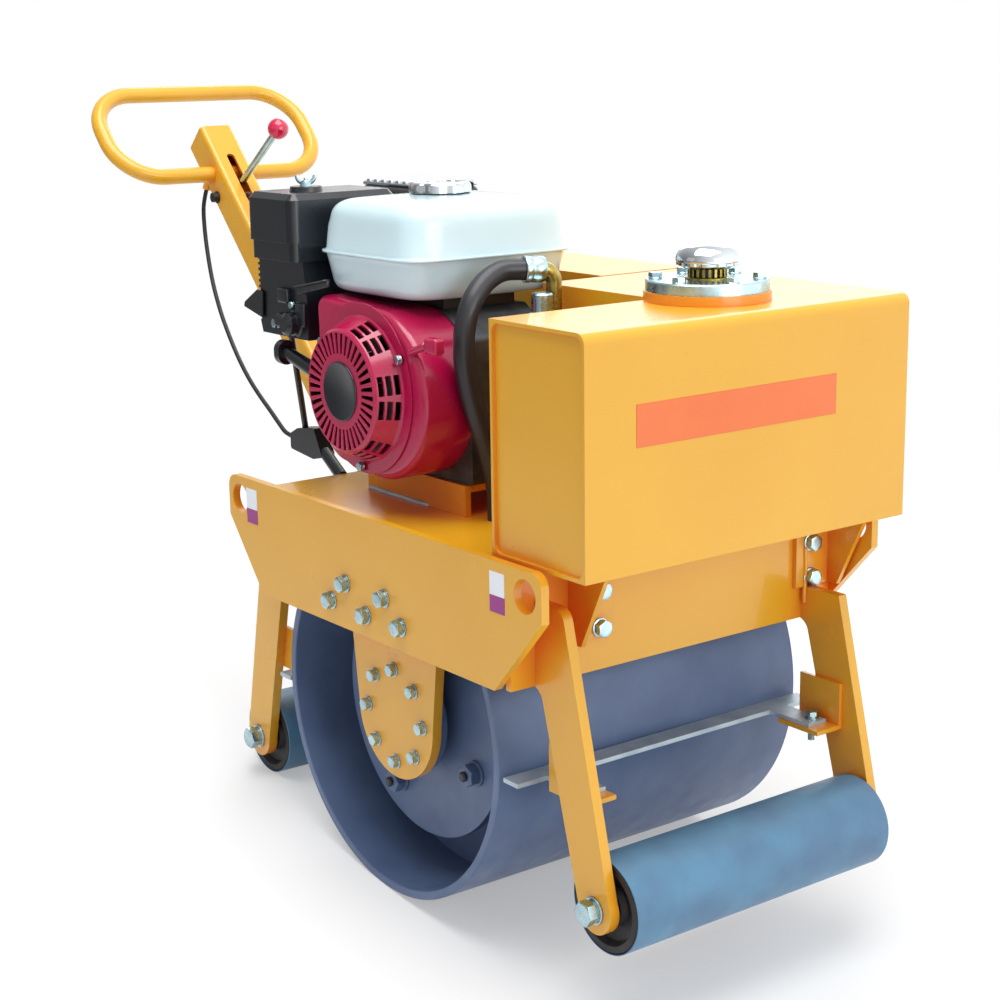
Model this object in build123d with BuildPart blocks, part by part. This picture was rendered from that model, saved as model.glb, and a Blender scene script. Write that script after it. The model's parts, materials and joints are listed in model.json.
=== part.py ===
from build123d import *

import os
from math import asin, atan2, cos, degrees, hypot, radians, sin, sqrt, tan

# Walk-behind road roller with one vibrating steel drum, two small trailing rollers, a small
# petrol engine over the drum, a sprinkler tank in front and a drawbar with a loop handle.
# Millimetres. The machine is modelled level: +X forwards to the tank, +Y to its left, +Z up,
# with the origin on the ground line under the drum's axis. It is written as it parks,
# tipped back on its drum and its rear roller.

# ---- driving dimensions -----------------------------------------------------------------
drum_radius = 212.5
drum_width = 440.0
drum_wall = 10.0
drum_clearance = 9.5  # between the drum's top and the deck above it
web_inset = 104.0  # from the drum's rim to the outer face of its web
web_thickness = 10.0
web_bore_radius = 62.0
hub_plate_radius = 153.0
hub_plate_inset = 51.0
hub_plate_thickness = 10.0
buffer_circle_radius = 113.0
buffer_radius = 27.0
buffer_angles = (-116.0, -26.0, 64.0, 154.0)

axle_tube_radius = 40.0
running_clearance = 0.05  # radial, between a shaft and what turns on it
exciter_radius = 56.0
exciter_length = 170.0
hub_flange_radius = 70.0
hub_flange_thickness = 12.0

hanger_thickness = 12.0
hanger_inset = 11.0  # from the drum's rim to the hanger's outer face
hanger_half_width = 75.0
hanger_top_half_width = 88.0
hanger_pad_drop = 40.5  # from the drum's top down to the top of the hanger's pad
hanger_pad_height = 62.0

frame_gap = 12.0  # between the drum's rim and the side plates
side_plate_thickness = 10.0
side_plate_lip = 11.0  # above the deck
side_plate_height = 139.5
side_plate_end_height = 51.5
side_plate_front = 104.5  # beyond the drum's front
side_plate_rear = 95.5
side_plate_bottom_front = 24.5
side_plate_bottom_rear = 22.5
lifting_hole_radius = 18.0
lifting_hole_inset = 27.0
lifting_hole_drop = 27.5

deck_thickness = 6.0
cross_plate_thickness = 8.0
cross_plate_front = 39.5  # beyond the drum's front

leg_thickness = 12.0
leg_inset = 20.0  # from the drum's rim to a leg's outer face
leg_top_drop = 30.5  # from the deck's underside to the top of a leg
leg_foot_radius = 26.0
leg_gusset_length = 52.0  # from the cross plate back over the drum, where the drum allows
leg_drum_gap = 8.0  # at least, between a gusset and the drum
leg_fillet = 18.0

roller_radius = 52.0
roller_length = 346.0
roller_end_width = 12.0
roller_wall = 8.0
roller_axle_radius = 9.0
front_roller_gap = 81.5  # between the drum and the roller, along X
rear_roller_gap = 72.5
front_roller_lift = 43.0  # of the roller over the level ground line
rear_roller_lift = 38.0

scraper_gap = 5.5
scraper_width = 25.0
scraper_thickness = 5.0
scraper_drop = 12.5  # from the drum's axis down to the blade's underside
scraper_tab_length = 62.0
bracket_wall = 5.0
bracket_height = 49.0

tank_clearance = 8.5  # between the deck and the tank
bracket_drop = 99.0
bracket_length = 60.0
bracket_flange = 56.0
bracket_sheet = 6.0
tank_length = 150.0
tank_height = 245.0
tank_wall = 2.5
tank_side_gap = 6.0  # between the tank and the side plates
tank_rear = 3.5  # beyond the drum's front
tank_arm_rear = 20.0
tank_notch_y = -3.0
tank_side_recess = 4.0
guard_front = 14.0
guard_rear = -232.0
guard_width = 136.0
guard_wall = 3.0

filler_x = 256.0
filler_y = 33.0
filler_ring_radius = 68.0
filler_ring_height = 10.5
filler_flange_radius = 66.0
filler_flange_thickness = 12.0
cap_radius = 34.0
cap_height = 27.0

drawbar_size = 50.0
drawbar_wall = 4.0
drawbar_angle = 46.7
drawbar_cross_x = -720.0  # a point on the drawbar's axis at the handle
drawbar_cross_rise = 354.5  # that point above the deck
drawbar_overrun = 58.0  # beyond that point
tongue_rise = 63.5  # the drawbar's level foot above the deck
bracket_gap = 13.0  # between the engine's base and the drawbar's bracket
bracket_reach = (15.0, 55.0)  # of the bracket in front of and behind the drawbar's end
handle_drop = 10.0  # from that point down the drawbar to the handle's lower bar
handle_tube_radius = 11.0
handle_length = 326.0
handle_width = 152.0
handle_corner = 66.0
lever_slot_width = 12.0
lever_slot_start = -5.0  # along the drawbar, from that point
lever_slot_end = 85.0
lever_radius = 5.0
lever_rise = (154.0, 59.0)  # of the knob, along X and Z from that point
knob_radius = 14.0

cable_radius = 3.0
hose_radius = 12.0
engine_base_length = 200.0
engine_base_width = 124.0
engine_base_height = 36.0
engine_base_wall = 8.0
engine_base_x = -64.0
engine_base_y = -68.0
crank_x = -67.0
crank_height = 106.0  # above the engine's base
head_top = 110.0  # above the crank
seam_rise = 286.5  # of the fuel tank's seam above the deck
fuel_height = 66.0
fuel_depth = 44.0
fuel_lip = 3.0
fuel_rear = -184.0
fuel_front = -2.0
fuel_right = -181.0
fuel_left = 49.0
cleaner_rise = 274.5  # of the air cleaner's underside above the deck
cleaner_height = 79.0
cleaner_band = 25.0  # height of its lower half, under the seam
cleaner_rear = -299.0
cleaner_front = -195.0
cleaner_right = -206.0
cleaner_left = -56.0
recoil_face_y = -226.0
recoil_face_radius = 71.0
recoil_base_radius = 81.0
recoil_flange_radius = 98.0
recoil_inlet_radius = 74.0
recoil_sheet = 2.0
slot_count = 38
slot_inner_radius = 43.0
slot_outer_radius = 66.5
slot_inner_width = 3.5
slot_outer_width = 5.6
vent_group_angles = (58.5, 0.0, -62.0)
vent_row_step = 21.5
vent_columns = 3
vent_pitch = 8.6
vent_width = 6.0
vent_length = 22.0

# ---- places worked out from them --------------------------------------------------------
axis_z = drum_radius
drum_half = drum_width / 2
deck_bottom = 2 * drum_radius + drum_clearance
deck_top = deck_bottom + deck_thickness
side_inner = drum_half + frame_gap
side_outer = side_inner + side_plate_thickness
side_top = deck_top + side_plate_lip
side_bottom = side_top - side_plate_height
cross_x = drum_radius + cross_plate_front
leg_outer = drum_half - leg_inset
leg_inner = leg_outer - leg_thickness
leg_top = deck_bottom - leg_top_drop
front_axle_x = drum_radius + front_roller_gap + roller_radius
front_axle_z = front_roller_lift + roller_radius
rear_axle_x = -(drum_radius + rear_roller_gap + roller_radius)
rear_axle_z = rear_roller_lift + roller_radius
hanger_outer = drum_half - hanger_inset
hanger_inner = hanger_outer - hanger_thickness
tank_half = side_inner - tank_side_gap
tank_back_x = drum_radius + tank_rear
tank_front_x = tank_back_x + tank_length
tank_bottom = deck_top + tank_clearance
tank_top = tank_bottom + tank_height
bracket_bottom = tank_bottom - bracket_drop
engine_bottom = deck_top + engine_base_height
drawbar_cross_z = deck_top + drawbar_cross_rise
tongue_height = deck_top + tongue_rise
seam_z = deck_top + seam_rise
cleaner_bottom = deck_top + cleaner_rise
crank_z = engine_bottom + crank_height
slope = radians(drawbar_angle)
bar_down = Vector(cos(slope), 0, -sin(slope))  # down along the drawbar
bar_out = Vector(sin(slope), 0, cos(slope))  # out of its top face


def drawbar_point(along, out=0.0, y=0.0):
    """A point from the one at the handle: down the drawbar, out of its top face and sideways."""
    start = Vector(drawbar_cross_x, y, drawbar_cross_z)
    return start + bar_down * along + bar_out * out


def right_plane(y):
    """The XZ plane whose sketches are extruded outwards on the machine's right, from -y."""
    return Plane.XZ.offset(y)


def mirrored(right):
    """The left-hand copy of a right-hand piece."""
    with BuildPart() as left:
        mirror(right.part, about=Plane.XZ, mode=Mode.ADD)
    return left


# ---- frame ------------------------------------------------------------------------------
with BuildPart() as side_plate_right:
    with BuildSketch(right_plane(side_inner)):
        with BuildLine():
            Polyline(
                (-(drum_radius + side_plate_rear), side_top),
                (drum_radius + side_plate_front, side_top),
                (drum_radius + side_plate_front, side_top - side_plate_end_height),
                (drum_radius + side_plate_bottom_front, side_bottom),
                (-(drum_radius + side_plate_bottom_rear), side_bottom),
                (-(drum_radius + side_plate_rear), side_top - side_plate_end_height),
                close=True,
            )
        make_face()
        with Locations(
            (drum_radius + side_plate_front - lifting_hole_inset, side_top - lifting_hole_drop),
            (-(drum_radius + side_plate_rear) + lifting_hole_inset, side_top - lifting_hole_drop),
        ):
            Circle(lifting_hole_radius, mode=Mode.SUBTRACT)
    extrude(amount=side_plate_thickness)
    top_corners = side_plate_right.edges().filter_by(Axis.Y).group_by(Axis.Z)[-1]
    fillet(top_corners, radius=16)
side_plate_left = mirrored(side_plate_right)

with BuildPart() as deck:
    with BuildSketch(Plane.XY.offset(deck_bottom)):
        Rectangle(2 * cross_x, 2 * side_inner)
    extrude(amount=deck_thickness)


def cross_plate(x):
    """A plate across the frame with slots in its lower edge for the legs; x is its middle."""
    with BuildPart() as plate:
        with BuildSketch(Plane.YZ.offset(x - cross_plate_thickness / 2)):
            with Locations((0, (side_bottom + deck_bottom) / 2)):
                Rectangle(2 * side_inner, deck_bottom - side_bottom)
            with Locations(
                (leg_inner + leg_thickness / 2, (side_bottom + leg_top) / 2),
                (-leg_inner - leg_thickness / 2, (side_bottom + leg_top) / 2),
            ):
                Rectangle(leg_thickness, leg_top - side_bottom, mode=Mode.SUBTRACT)
        extrude(amount=cross_plate_thickness)
    return plate


cross_middle = cross_x - cross_plate_thickness / 2
front_cross_plate = cross_plate(cross_middle)
rear_cross_plate = cross_plate(-cross_middle)


def leg(axle_x, axle_z, sign):
    """A right-hand leg plate: a gusset under the deck that runs down to the roller's axle."""
    top_x = sign * (cross_x + 45)
    drum_reach = sqrt((drum_radius + leg_drum_gap) ** 2 - (side_bottom - axis_z) ** 2)
    gusset_x = sign * max(cross_x - leg_gusset_length, drum_reach)
    inner_x = sign * (cross_x + 8)
    with BuildPart() as plate:
        with BuildSketch(right_plane(leg_inner)):
            with BuildLine():
                Polyline(
                    (gusset_x, leg_top),
                    (top_x, leg_top),
                    (axle_x + sign * leg_foot_radius, axle_z),
                    (axle_x - sign * leg_foot_radius, axle_z),
                    (inner_x, side_bottom),
                    (gusset_x, side_bottom),
                    close=True,
                )
            make_face()
            near_corner = vertices().sort_by_distance(Vertex(inner_x, side_bottom))[0]
            fillet(near_corner, radius=leg_fillet)
            shoulder = vertices().sort_by_distance(Vertex(top_x, leg_top))[0]
            fillet(shoulder, radius=leg_fillet)
            with Locations((axle_x, axle_z)):
                Circle(leg_foot_radius)
                Circle(roller_axle_radius, mode=Mode.SUBTRACT)
        extrude(amount=leg_thickness)
    return plate


front_leg_right = leg(front_axle_x, front_axle_z, 1)
rear_leg_right = leg(rear_axle_x, rear_axle_z, -1)
with BuildPart() as front_leg_left:
    mirror(front_leg_right.part, about=Plane.XZ, mode=Mode.ADD)
    with BuildSketch(Plane.XZ.offset(-leg_outer - 1)):
        with Locations((cross_x + 30, bracket_bottom + 50)):
            Rectangle(60, 100)
    extrude(amount=leg_thickness + 2, mode=Mode.SUBTRACT)
rear_leg_left = mirrored(rear_leg_right)

# Tank brackets: a flange on the front cross plate and a tapered web under the tank.
# columns: y of the web's outer face, direction of the flange from it
bracket_places = ((-156.0, 1), (tank_half + 3, -1))
with BuildPart() as tank_brackets:
    for web_y, toward in bracket_places:
        with BuildSketch(Plane.XZ.offset(-web_y)):
            with BuildLine():
                Polyline(
                    (cross_x, tank_bottom),
                    (cross_x + bracket_length, tank_bottom),
                    (cross_x + bracket_length, tank_bottom - 19),
                    (cross_x + 21, bracket_bottom),
                    (cross_x, bracket_bottom),
                    close=True,
                )
            make_face()
        extrude(amount=-bracket_sheet * toward)
        with BuildSketch(Plane.YZ.offset(cross_x)):
            with Locations((web_y + toward * bracket_flange / 2, tank_bottom - bracket_drop / 2)):
                Rectangle(bracket_flange, bracket_drop)
        extrude(amount=bracket_sheet)

# ---- drum and its suspension ------------------------------------------------------------
with BuildPart() as drum:
    with BuildSketch(right_plane(-drum_half)):
        with Locations((0, axis_z)):
            Circle(drum_radius)
            Circle(drum_radius - drum_wall, mode=Mode.SUBTRACT)
    extrude(amount=drum_width)
    rims = drum.edges().filter_by(GeomType.CIRCLE)
    chamfer(rims, length=1)

with BuildPart() as drum_webs:
    with BuildSketch(right_plane(drum_half - web_inset - web_thickness)):
        with Locations((0, axis_z)):
            Circle(drum_radius - drum_wall)
            Circle(web_bore_radius, mode=Mode.SUBTRACT)
    extrude(amount=web_thickness)
    mirror(about=Plane.XZ)

buffer_length = web_inset - hub_plate_inset - hub_plate_thickness
buffer_start = drum_half - web_inset
with BuildPart() as hub_plate_right:
    with BuildSketch(right_plane(buffer_start + buffer_length)):
        with Locations((0, axis_z)):
            Circle(hub_plate_radius)
            Circle(axle_tube_radius + running_clearance, mode=Mode.SUBTRACT)
    extrude(amount=hub_plate_thickness)
hub_plate_left = mirrored(hub_plate_right)

with BuildPart() as rubber_buffers:
    with BuildSketch(right_plane(buffer_start)):
        for angle in buffer_angles:
            turn = radians(angle)
            place = (buffer_circle_radius * cos(turn), axis_z + buffer_circle_radius * sin(turn))
            with Locations(place):
                Circle(buffer_radius)
    extrude(amount=buffer_length)
    mirror(about=Plane.XZ)

# The fixed tube through the drum, with the vibrator's housing in its middle.
with BuildPart() as axle_tube:
    with BuildSketch(Plane.YZ):
        with BuildLine():
            Polyline(
                (-hanger_inner, axis_z),
                (-hanger_inner, axis_z + hub_flange_radius),
                (-hanger_inner + hub_flange_thickness, axis_z + hub_flange_radius),
                (-hanger_inner + hub_flange_thickness, axis_z + axle_tube_radius),
                (-exciter_length / 2 - 18, axis_z + axle_tube_radius),
                (-exciter_length / 2, axis_z + exciter_radius),
                (exciter_length / 2, axis_z + exciter_radius),
                (exciter_length / 2 + 18, axis_z + axle_tube_radius),
                (hanger_inner - hub_flange_thickness, axis_z + axle_tube_radius),
                (hanger_inner - hub_flange_thickness, axis_z + hub_flange_radius),
                (hanger_inner, axis_z + hub_flange_radius),
                (hanger_inner, axis_z),
                close=True,
            )
        make_face()
    revolve(axis=Axis((0, 0, axis_z), (0, 1, 0)))

with BuildPart() as hanger_right:
    pad_top = axis_z + drum_radius - hanger_pad_drop
    pad_bottom = pad_top - hanger_pad_height
    with BuildSketch(right_plane(hanger_inner)):
        with BuildLine():
            Polyline(
                (-hanger_half_width, axis_z),
                (-hanger_top_half_width, pad_bottom),
                (-hanger_top_half_width, pad_top),
                (hanger_top_half_width, pad_top),
                (hanger_top_half_width, pad_bottom),
                (hanger_half_width, axis_z),
            )
            ThreePointArc(
                (hanger_half_width, axis_z),
                (0, axis_z - hanger_half_width),
                (-hanger_half_width, axis_z),
            )
        make_face()
    extrude(amount=hanger_thickness)
    with BuildSketch(right_plane(hanger_outer)):
        with Locations((0, (pad_bottom + pad_top) / 2)):
            Rectangle(2 * hanger_top_half_width, hanger_pad_height)
    extrude(amount=side_inner - hanger_outer)
hanger_left = mirrored(hanger_right)


# ---- trailing rollers -------------------------------------------------------------------
def roller_sleeve(axle_x, axle_z):
    """The steel tube of a trailing roller."""
    with BuildPart() as sleeve:
        with BuildSketch(right_plane(-roller_length / 2)):
            with Locations((axle_x, axle_z)):
                Circle(roller_radius)
                Circle(roller_radius - roller_wall, mode=Mode.SUBTRACT)
        extrude(amount=roller_length)
    return sleeve


def roller_ends(axle_x, axle_z):
    """The two dished rubber ends of a trailing roller, each with a plug inside the tube."""
    half = roller_length / 2
    bore = roller_axle_radius + running_clearance
    rim = roller_radius - 0.5
    with BuildPart() as ends:
        with BuildSketch(Plane((axle_x, 0, axle_z), x_dir=(0, 1, 0), z_dir=(1, 0, 0))):
            with BuildLine():
                Polyline(
                    (half - 22, bore),
                    (half + 8, bore),
                    (half + 8, 20),
                    (half + 2, 24),
                    (half + 4, 38),
                    (half + roller_end_width, 42),
                    (half + roller_end_width, rim - 3),
                    (half + roller_end_width - 3, rim),
                    (half, rim),
                    (half, roller_radius - roller_wall),
                    (half - 22, roller_radius - roller_wall),
                    close=True,
                )
            make_face()
        revolve(axis=Axis((axle_x, 0, axle_z), (0, 1, 0)))
        mirror(about=Plane.XZ)
    return ends


def roller_axle(axle_x, axle_z):
    """The fixed bar that a trailing roller turns on, held in the two legs."""
    with BuildPart() as axle:
        with BuildSketch(right_plane(-leg_outer)):
            with Locations((axle_x, axle_z)):
                Circle(roller_axle_radius)
        extrude(amount=2 * leg_outer)
    return axle


front_roller = roller_sleeve(front_axle_x, front_axle_z)
front_roller_ends = roller_ends(front_axle_x, front_axle_z)
front_axle = roller_axle(front_axle_x, front_axle_z)
rear_roller = roller_sleeve(rear_axle_x, rear_axle_z)
rear_roller_ends = roller_ends(rear_axle_x, rear_axle_z)
rear_axle = roller_axle(rear_axle_x, rear_axle_z)


# ---- scrapers ---------------------------------------------------------------------------
scraper_bottom = axis_z - scraper_drop
bracket_outer = drum_radius + scraper_gap + scraper_width + scraper_tab_length + 15
tab_y = leg_inner - bracket_wall - 19


def scraper(sign):
    """A flat blade along the drum with a tab at each end that reaches its bracket."""
    edge = drum_radius + scraper_gap
    with BuildPart() as blade:
        with BuildSketch(Plane.XY.offset(scraper_bottom)):
            with Locations((sign * (edge + scraper_width / 2), 0)):
                Rectangle(scraper_width, drum_width - 4)
            tab_x = sign * (edge + scraper_width + scraper_tab_length / 2)
            with Locations((tab_x, tab_y), (tab_x, -tab_y)):
                Rectangle(scraper_tab_length, 28)
        extrude(amount=scraper_thickness)
    return blade


front_scraper = scraper(1)
rear_scraper = scraper(-1)

with BuildPart() as scraper_brackets:
    for sign in (1, -1):
        length = 62
        middle = sign * (bracket_outer - length / 2)
        with BuildSketch(Plane.XY.offset(scraper_bottom)):
            with Locations((middle, leg_inner - 20)):
                Rectangle(length, 40)
        extrude(amount=-bracket_wall)
        with BuildSketch(Plane.XZ.offset(-(leg_inner - bracket_wall))):
            with Locations((middle, scraper_bottom + bracket_height / 2)):
                Rectangle(length, bracket_height)
        extrude(amount=-bracket_wall)
    mirror(about=Plane.XZ)

# ---- tank, filler and belt guard --------------------------------------------------------
with BuildPart() as water_tank:
    with BuildSketch(Plane.XY.offset(tank_bottom)):
        with BuildLine():
            Polyline(
                (tank_front_x, -tank_half),
                (tank_front_x, tank_half),
                (tank_arm_rear, tank_half),
                (tank_arm_rear, tank_notch_y),
                (tank_back_x, tank_notch_y),
                (tank_back_x, -tank_half),
                close=True,
            )
        make_face()
    extrude(amount=tank_height)
    front_top = water_tank.edges().filter_by(Axis.Y).group_by(Axis.X)[-1].sort_by(Axis.Z)[-1]
    fillet(front_top, radius=12)
    with BuildSketch(right_plane(tank_half)):
        with Locations(((tank_back_x + tank_front_x) / 2, (tank_bottom + tank_top) / 2)):
            RectangleRounded(tank_length - 8, tank_height - 8, 10)
    extrude(amount=-tank_side_recess, mode=Mode.SUBTRACT)
    with BuildSketch(Plane.XY.offset(tank_bottom + tank_wall)):
        with BuildLine():
            Polyline(
                (tank_front_x - tank_wall, -tank_half + tank_side_recess + tank_wall),
                (tank_front_x - tank_wall, tank_half - tank_wall),
                (tank_arm_rear + tank_wall, tank_half - tank_wall),
                (tank_arm_rear + tank_wall, tank_notch_y + tank_wall),
                (tank_back_x + tank_wall, tank_notch_y + tank_wall),
                (tank_back_x + tank_wall, -tank_half + tank_side_recess + tank_wall),
                close=True,
            )
        make_face()
    extrude(amount=tank_height - 2 * tank_wall - 3, mode=Mode.SUBTRACT)

with BuildPart() as filler_neck:
    with BuildSketch(Plane.XY.offset(tank_top)):
        with Locations((filler_x, filler_y)):
            Circle(filler_ring_radius)
    extrude(amount=filler_ring_height)

with BuildPart() as filler_flange:
    with BuildSketch(Plane.XY.offset(tank_top + filler_ring_height)):
        with Locations((filler_x, filler_y)):
            Circle(filler_flange_radius)
    extrude(amount=filler_flange_thickness)
    rim = filler_flange.faces().sort_by(Axis.Z)[-1].edges()
    chamfer(rim, length=1.5)

flange_top = tank_top + filler_ring_height + filler_flange_thickness
with BuildPart() as breather_cap:
    with BuildSketch(Plane((filler_x, filler_y, flange_top), x_dir=(1, 0, 0), z_dir=(0, -1, 0))):
        with BuildLine():
            Polyline(
                (0, 0), (21, 0), (21, 7), (cap_radius - 2, 9), (cap_radius, 11),
                (cap_radius, cap_height), (cap_radius - 9, cap_height + 9), (0, cap_height + 12),
                close=True,
            )
        make_face()
    revolve(axis=Axis((filler_x, filler_y, 0), (0, 0, 1)))

guard_y = tank_half - guard_width
with BuildPart() as belt_guard:
    with BuildSketch(Plane.XY.offset(deck_top)):
        with Locations(((guard_front + guard_rear) / 2, guard_y + guard_width / 2)):
            Rectangle(guard_front - guard_rear, guard_width)
    extrude(amount=tank_top - deck_top)
    with BuildSketch(Plane.XY.offset(deck_top)):
        with Locations(((guard_front + guard_rear) / 2, guard_y + guard_width / 2)):
            Rectangle(guard_front - guard_rear - 2 * guard_wall, guard_width - 2 * guard_wall)
    extrude(amount=tank_top - deck_top - guard_wall, mode=Mode.SUBTRACT)

with BuildPart() as tank_rails:
    with BuildSketch(Plane.XY.offset(deck_top)):
        with Locations((tank_back_x + 18, 0)):
            Rectangle(30, 2 * tank_half - 40)
        with Locations((tank_arm_rear + 40, (tank_half + tank_notch_y) / 2)):
            Rectangle(30, tank_half - tank_notch_y - 40)
    extrude(amount=tank_clearance)

with BuildPart() as hydraulic_pump:
    with BuildSketch(Plane.XY.offset(deck_top)):
        with Locations((-110, guard_y + guard_width / 2)):
            Rectangle(110, 90)
    extrude(amount=130)

# ---- drawbar, handle and lever ----------------------------------------------------------
foot_along = (drawbar_cross_z - tongue_height) / sin(slope)
foot_point = drawbar_point(foot_along)
engine_base_rear = engine_base_x - engine_base_length / 2
tongue_front = min(-(cross_x - 60), engine_base_rear - bracket_gap - bracket_reach[0])


def above_deck(rows):
    """Points of a line: x, y and the height above the deck."""
    return [Vector(x, y, deck_top + height) for x, y, height in rows]


# The control cable, from its gland under the drawbar down to the junction on the frame.
# columns: x, y, height above the deck
cable_points = above_deck((
    (-736, -23, 324.5), (-739, -27, 307.5), (-736, -30, 285.5), (-719, -37, 247.5),
    (-692, -45, 199.5), (-658, -53, 160.5), (-624, -60, 131.5), (-586, -67, 102.5),
    (-546, -74, 78.5), (-507, -80, 60.5), (-470, -86, 46.5), (-436, -93, 34.5),
    (-403, -101, 25.5), (-376, -101, 25.5),
))
cable_start, cable_next = cable_points[0], cable_points[1]
gland_radius = 6.0
gland_length = 14.0
handle_plane = Plane(origin=drawbar_point(handle_drop), x_dir=(0, 1, 0), z_dir=tuple(bar_out))
with BuildPart() as handle_loop:
    with BuildLine(handle_plane):
        half = handle_length / 2
        ring = FilletPolyline(
            (half, 0), (half, handle_width), (-half, handle_width), (-half, 0),
            radius=handle_corner,
            close=True,
        )
    with BuildSketch(Plane(origin=ring @ 0, z_dir=ring % 0)):
        Circle(handle_tube_radius)
    sweep()

with BuildPart() as drawbar:
    with BuildLine(Plane.XZ):
        spine = Polyline(
            (tongue_front, tongue_height),
            (foot_point.X, tongue_height),
            (drawbar_point(-drawbar_overrun).X, drawbar_point(-drawbar_overrun).Z),
        )
    with BuildSketch(Plane(origin=spine @ 0, x_dir=(0, 1, 0), z_dir=spine % 0)):
        RectangleRounded(drawbar_size, drawbar_size, 6)
        RectangleRounded(
            drawbar_size - 2 * drawbar_wall, drawbar_size - 2 * drawbar_wall, 3,
            mode=Mode.SUBTRACT,
        )
    sweep(transition=Transition.RIGHT)
    slot_middle = drawbar_point((lever_slot_start + lever_slot_end) / 2, drawbar_size / 2)
    slot_plane = Plane(origin=slot_middle, x_dir=tuple(bar_down), z_dir=tuple(bar_out))
    with BuildSketch(slot_plane):
        SlotOverall(lever_slot_end - lever_slot_start, lever_slot_width)
    extrude(amount=-drawbar_wall - 2, mode=Mode.SUBTRACT)
    end_plane = Plane(
        origin=drawbar_point(-drawbar_overrun), x_dir=(0, 1, 0), z_dir=tuple(-bar_down)
    )
    with BuildSketch(end_plane):
        RectangleRounded(drawbar_size, drawbar_size, 6)
    extrude(amount=-drawbar_wall)
    add(handle_loop.part, mode=Mode.SUBTRACT)
    with BuildSketch(Plane(origin=cable_start, z_dir=tuple(cable_start - cable_next))):
        Circle(gland_radius)
    extrude(amount=gland_length)

# The bracket that holds the drawbar's foot: a block with a cheek on each side.
bracket_middle = tongue_front + (bracket_reach[0] - bracket_reach[1]) / 2
bracket_size = bracket_reach[0] + bracket_reach[1]
cheek = 10.0
with BuildPart() as handle_bracket:
    with BuildSketch(Plane.XY.offset(deck_top)):
        with Locations((bracket_middle, 0)):
            Rectangle(bracket_size, drawbar_size + 2 * cheek)
    extrude(amount=tongue_rise - drawbar_size / 2)
    with BuildSketch(right_plane(drawbar_size / 2)):
        with Locations((bracket_middle, tongue_height - cheek / 2)):
            Rectangle(bracket_size, drawbar_size + cheek)
    extrude(amount=cheek)
    mirror(about=Plane.XZ)

pivot = drawbar_point(41, -13)
knob = drawbar_point(0) + Vector(lever_rise[0], 0, lever_rise[1])
lever_direction = (knob - pivot).normalized()
lever_length = (knob - pivot).length
lever_plane = Plane(origin=pivot, x_dir=(0, 1, 0), z_dir=tuple(lever_direction.cross(Vector(0, 1, 0))))
with BuildPart() as shift_lever:
    with BuildSketch(lever_plane):
        meet = (knob_radius**2 - lever_radius**2) ** 0.5
        with BuildLine():
            Polyline((0, 0), (lever_radius, 0), (lever_radius, -lever_length + meet))
            ThreePointArc(
                (lever_radius, -lever_length + meet),
                (knob_radius, -lever_length),
                (0, -lever_length - knob_radius),
            )
            Line((0, -lever_length - knob_radius), (0, 0))
        make_face()
    revolve(axis=Axis(pivot, lever_direction))
    with BuildSketch(Plane(origin=pivot + Vector(0, drawbar_size / 2 - drawbar_wall, 0),
                           x_dir=(1, 0, 0), z_dir=(0, -1, 0))):
        Circle(5.5)
    extrude(amount=drawbar_size - 2 * drawbar_wall)

# ---- engine -----------------------------------------------------------------------------
with BuildPart() as engine_base:
    with BuildSketch(Plane.YZ.offset(engine_base_x - engine_base_length / 2)):
        with Locations((engine_base_y, deck_top + engine_base_height / 2)):
            Rectangle(engine_base_width, engine_base_height)
        inner_width = engine_base_width - 2 * engine_base_wall
        inner_height = engine_base_height - engine_base_wall
        with Locations((engine_base_y, deck_top + inner_height / 2)):
            Rectangle(inner_width, inner_height, mode=Mode.SUBTRACT)
    extrude(amount=engine_base_length)

shroud_back_y = -125.0
crankcase_back = 9.0  # to the right of the middle
shroud_front_y = -194.0
shroud_wall = 2.0
# columns: x and z from the crank, radius; the housing's outline is the hull of these rounds
shroud_rounds = ((23.0, -5.0, 97.0), (-84.0, 82.0, 16.0), (-48.0, -46.0, 48.0))
with BuildPart() as crankcase:
    with BuildSketch(right_plane(crankcase_back)):
        with BuildLine():
            Polyline(
                (crank_x - 80, engine_bottom),
                (crank_x + 112, engine_bottom),
                (crank_x + 106, crank_z + 60),
                (crank_x + 60, crank_z + 88),
                (crank_x - 50, crank_z + 88),
                (crank_x - 80, crank_z + 20),
                close=True,
            )
        make_face()
    extrude(amount=-shroud_back_y - crankcase_back)
    fillet(crankcase.edges().filter_by(Axis.Y), radius=8)

with BuildPart() as output_shaft:
    with BuildSketch(right_plane(-guard_y)):
        with Locations((crank_x, crank_z)):
            Circle(12)
    extrude(amount=guard_y + crankcase_back)
    with BuildSketch(right_plane(-30)):
        with Locations((crank_x, crank_z)):
            Circle(42)
    extrude(amount=30 + crankcase_back)

# The fan housing: square at its rear top corner, a volute around the fan elsewhere.
with BuildPart() as fan_shroud:
    with BuildSketch(right_plane(-shroud_back_y)):
        for x, z, radius in shroud_rounds:
            with Locations((crank_x + x, crank_z + z)):
                Circle(radius)
        make_hull()
    extrude(amount=shroud_back_y - shroud_front_y)
    fillet(fan_shroud.faces().sort_by(Axis.Y)[0].edges(), radius=9)
    offset(amount=-shroud_wall, openings=fan_shroud.faces().sort_by(Axis.Y)[-1])
    with BuildSketch(right_plane(-shroud_front_y - shroud_wall)):
        with Locations((crank_x, crank_z)):
            Circle(recoil_inlet_radius)
    extrude(amount=shroud_wall, mode=Mode.SUBTRACT)

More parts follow.
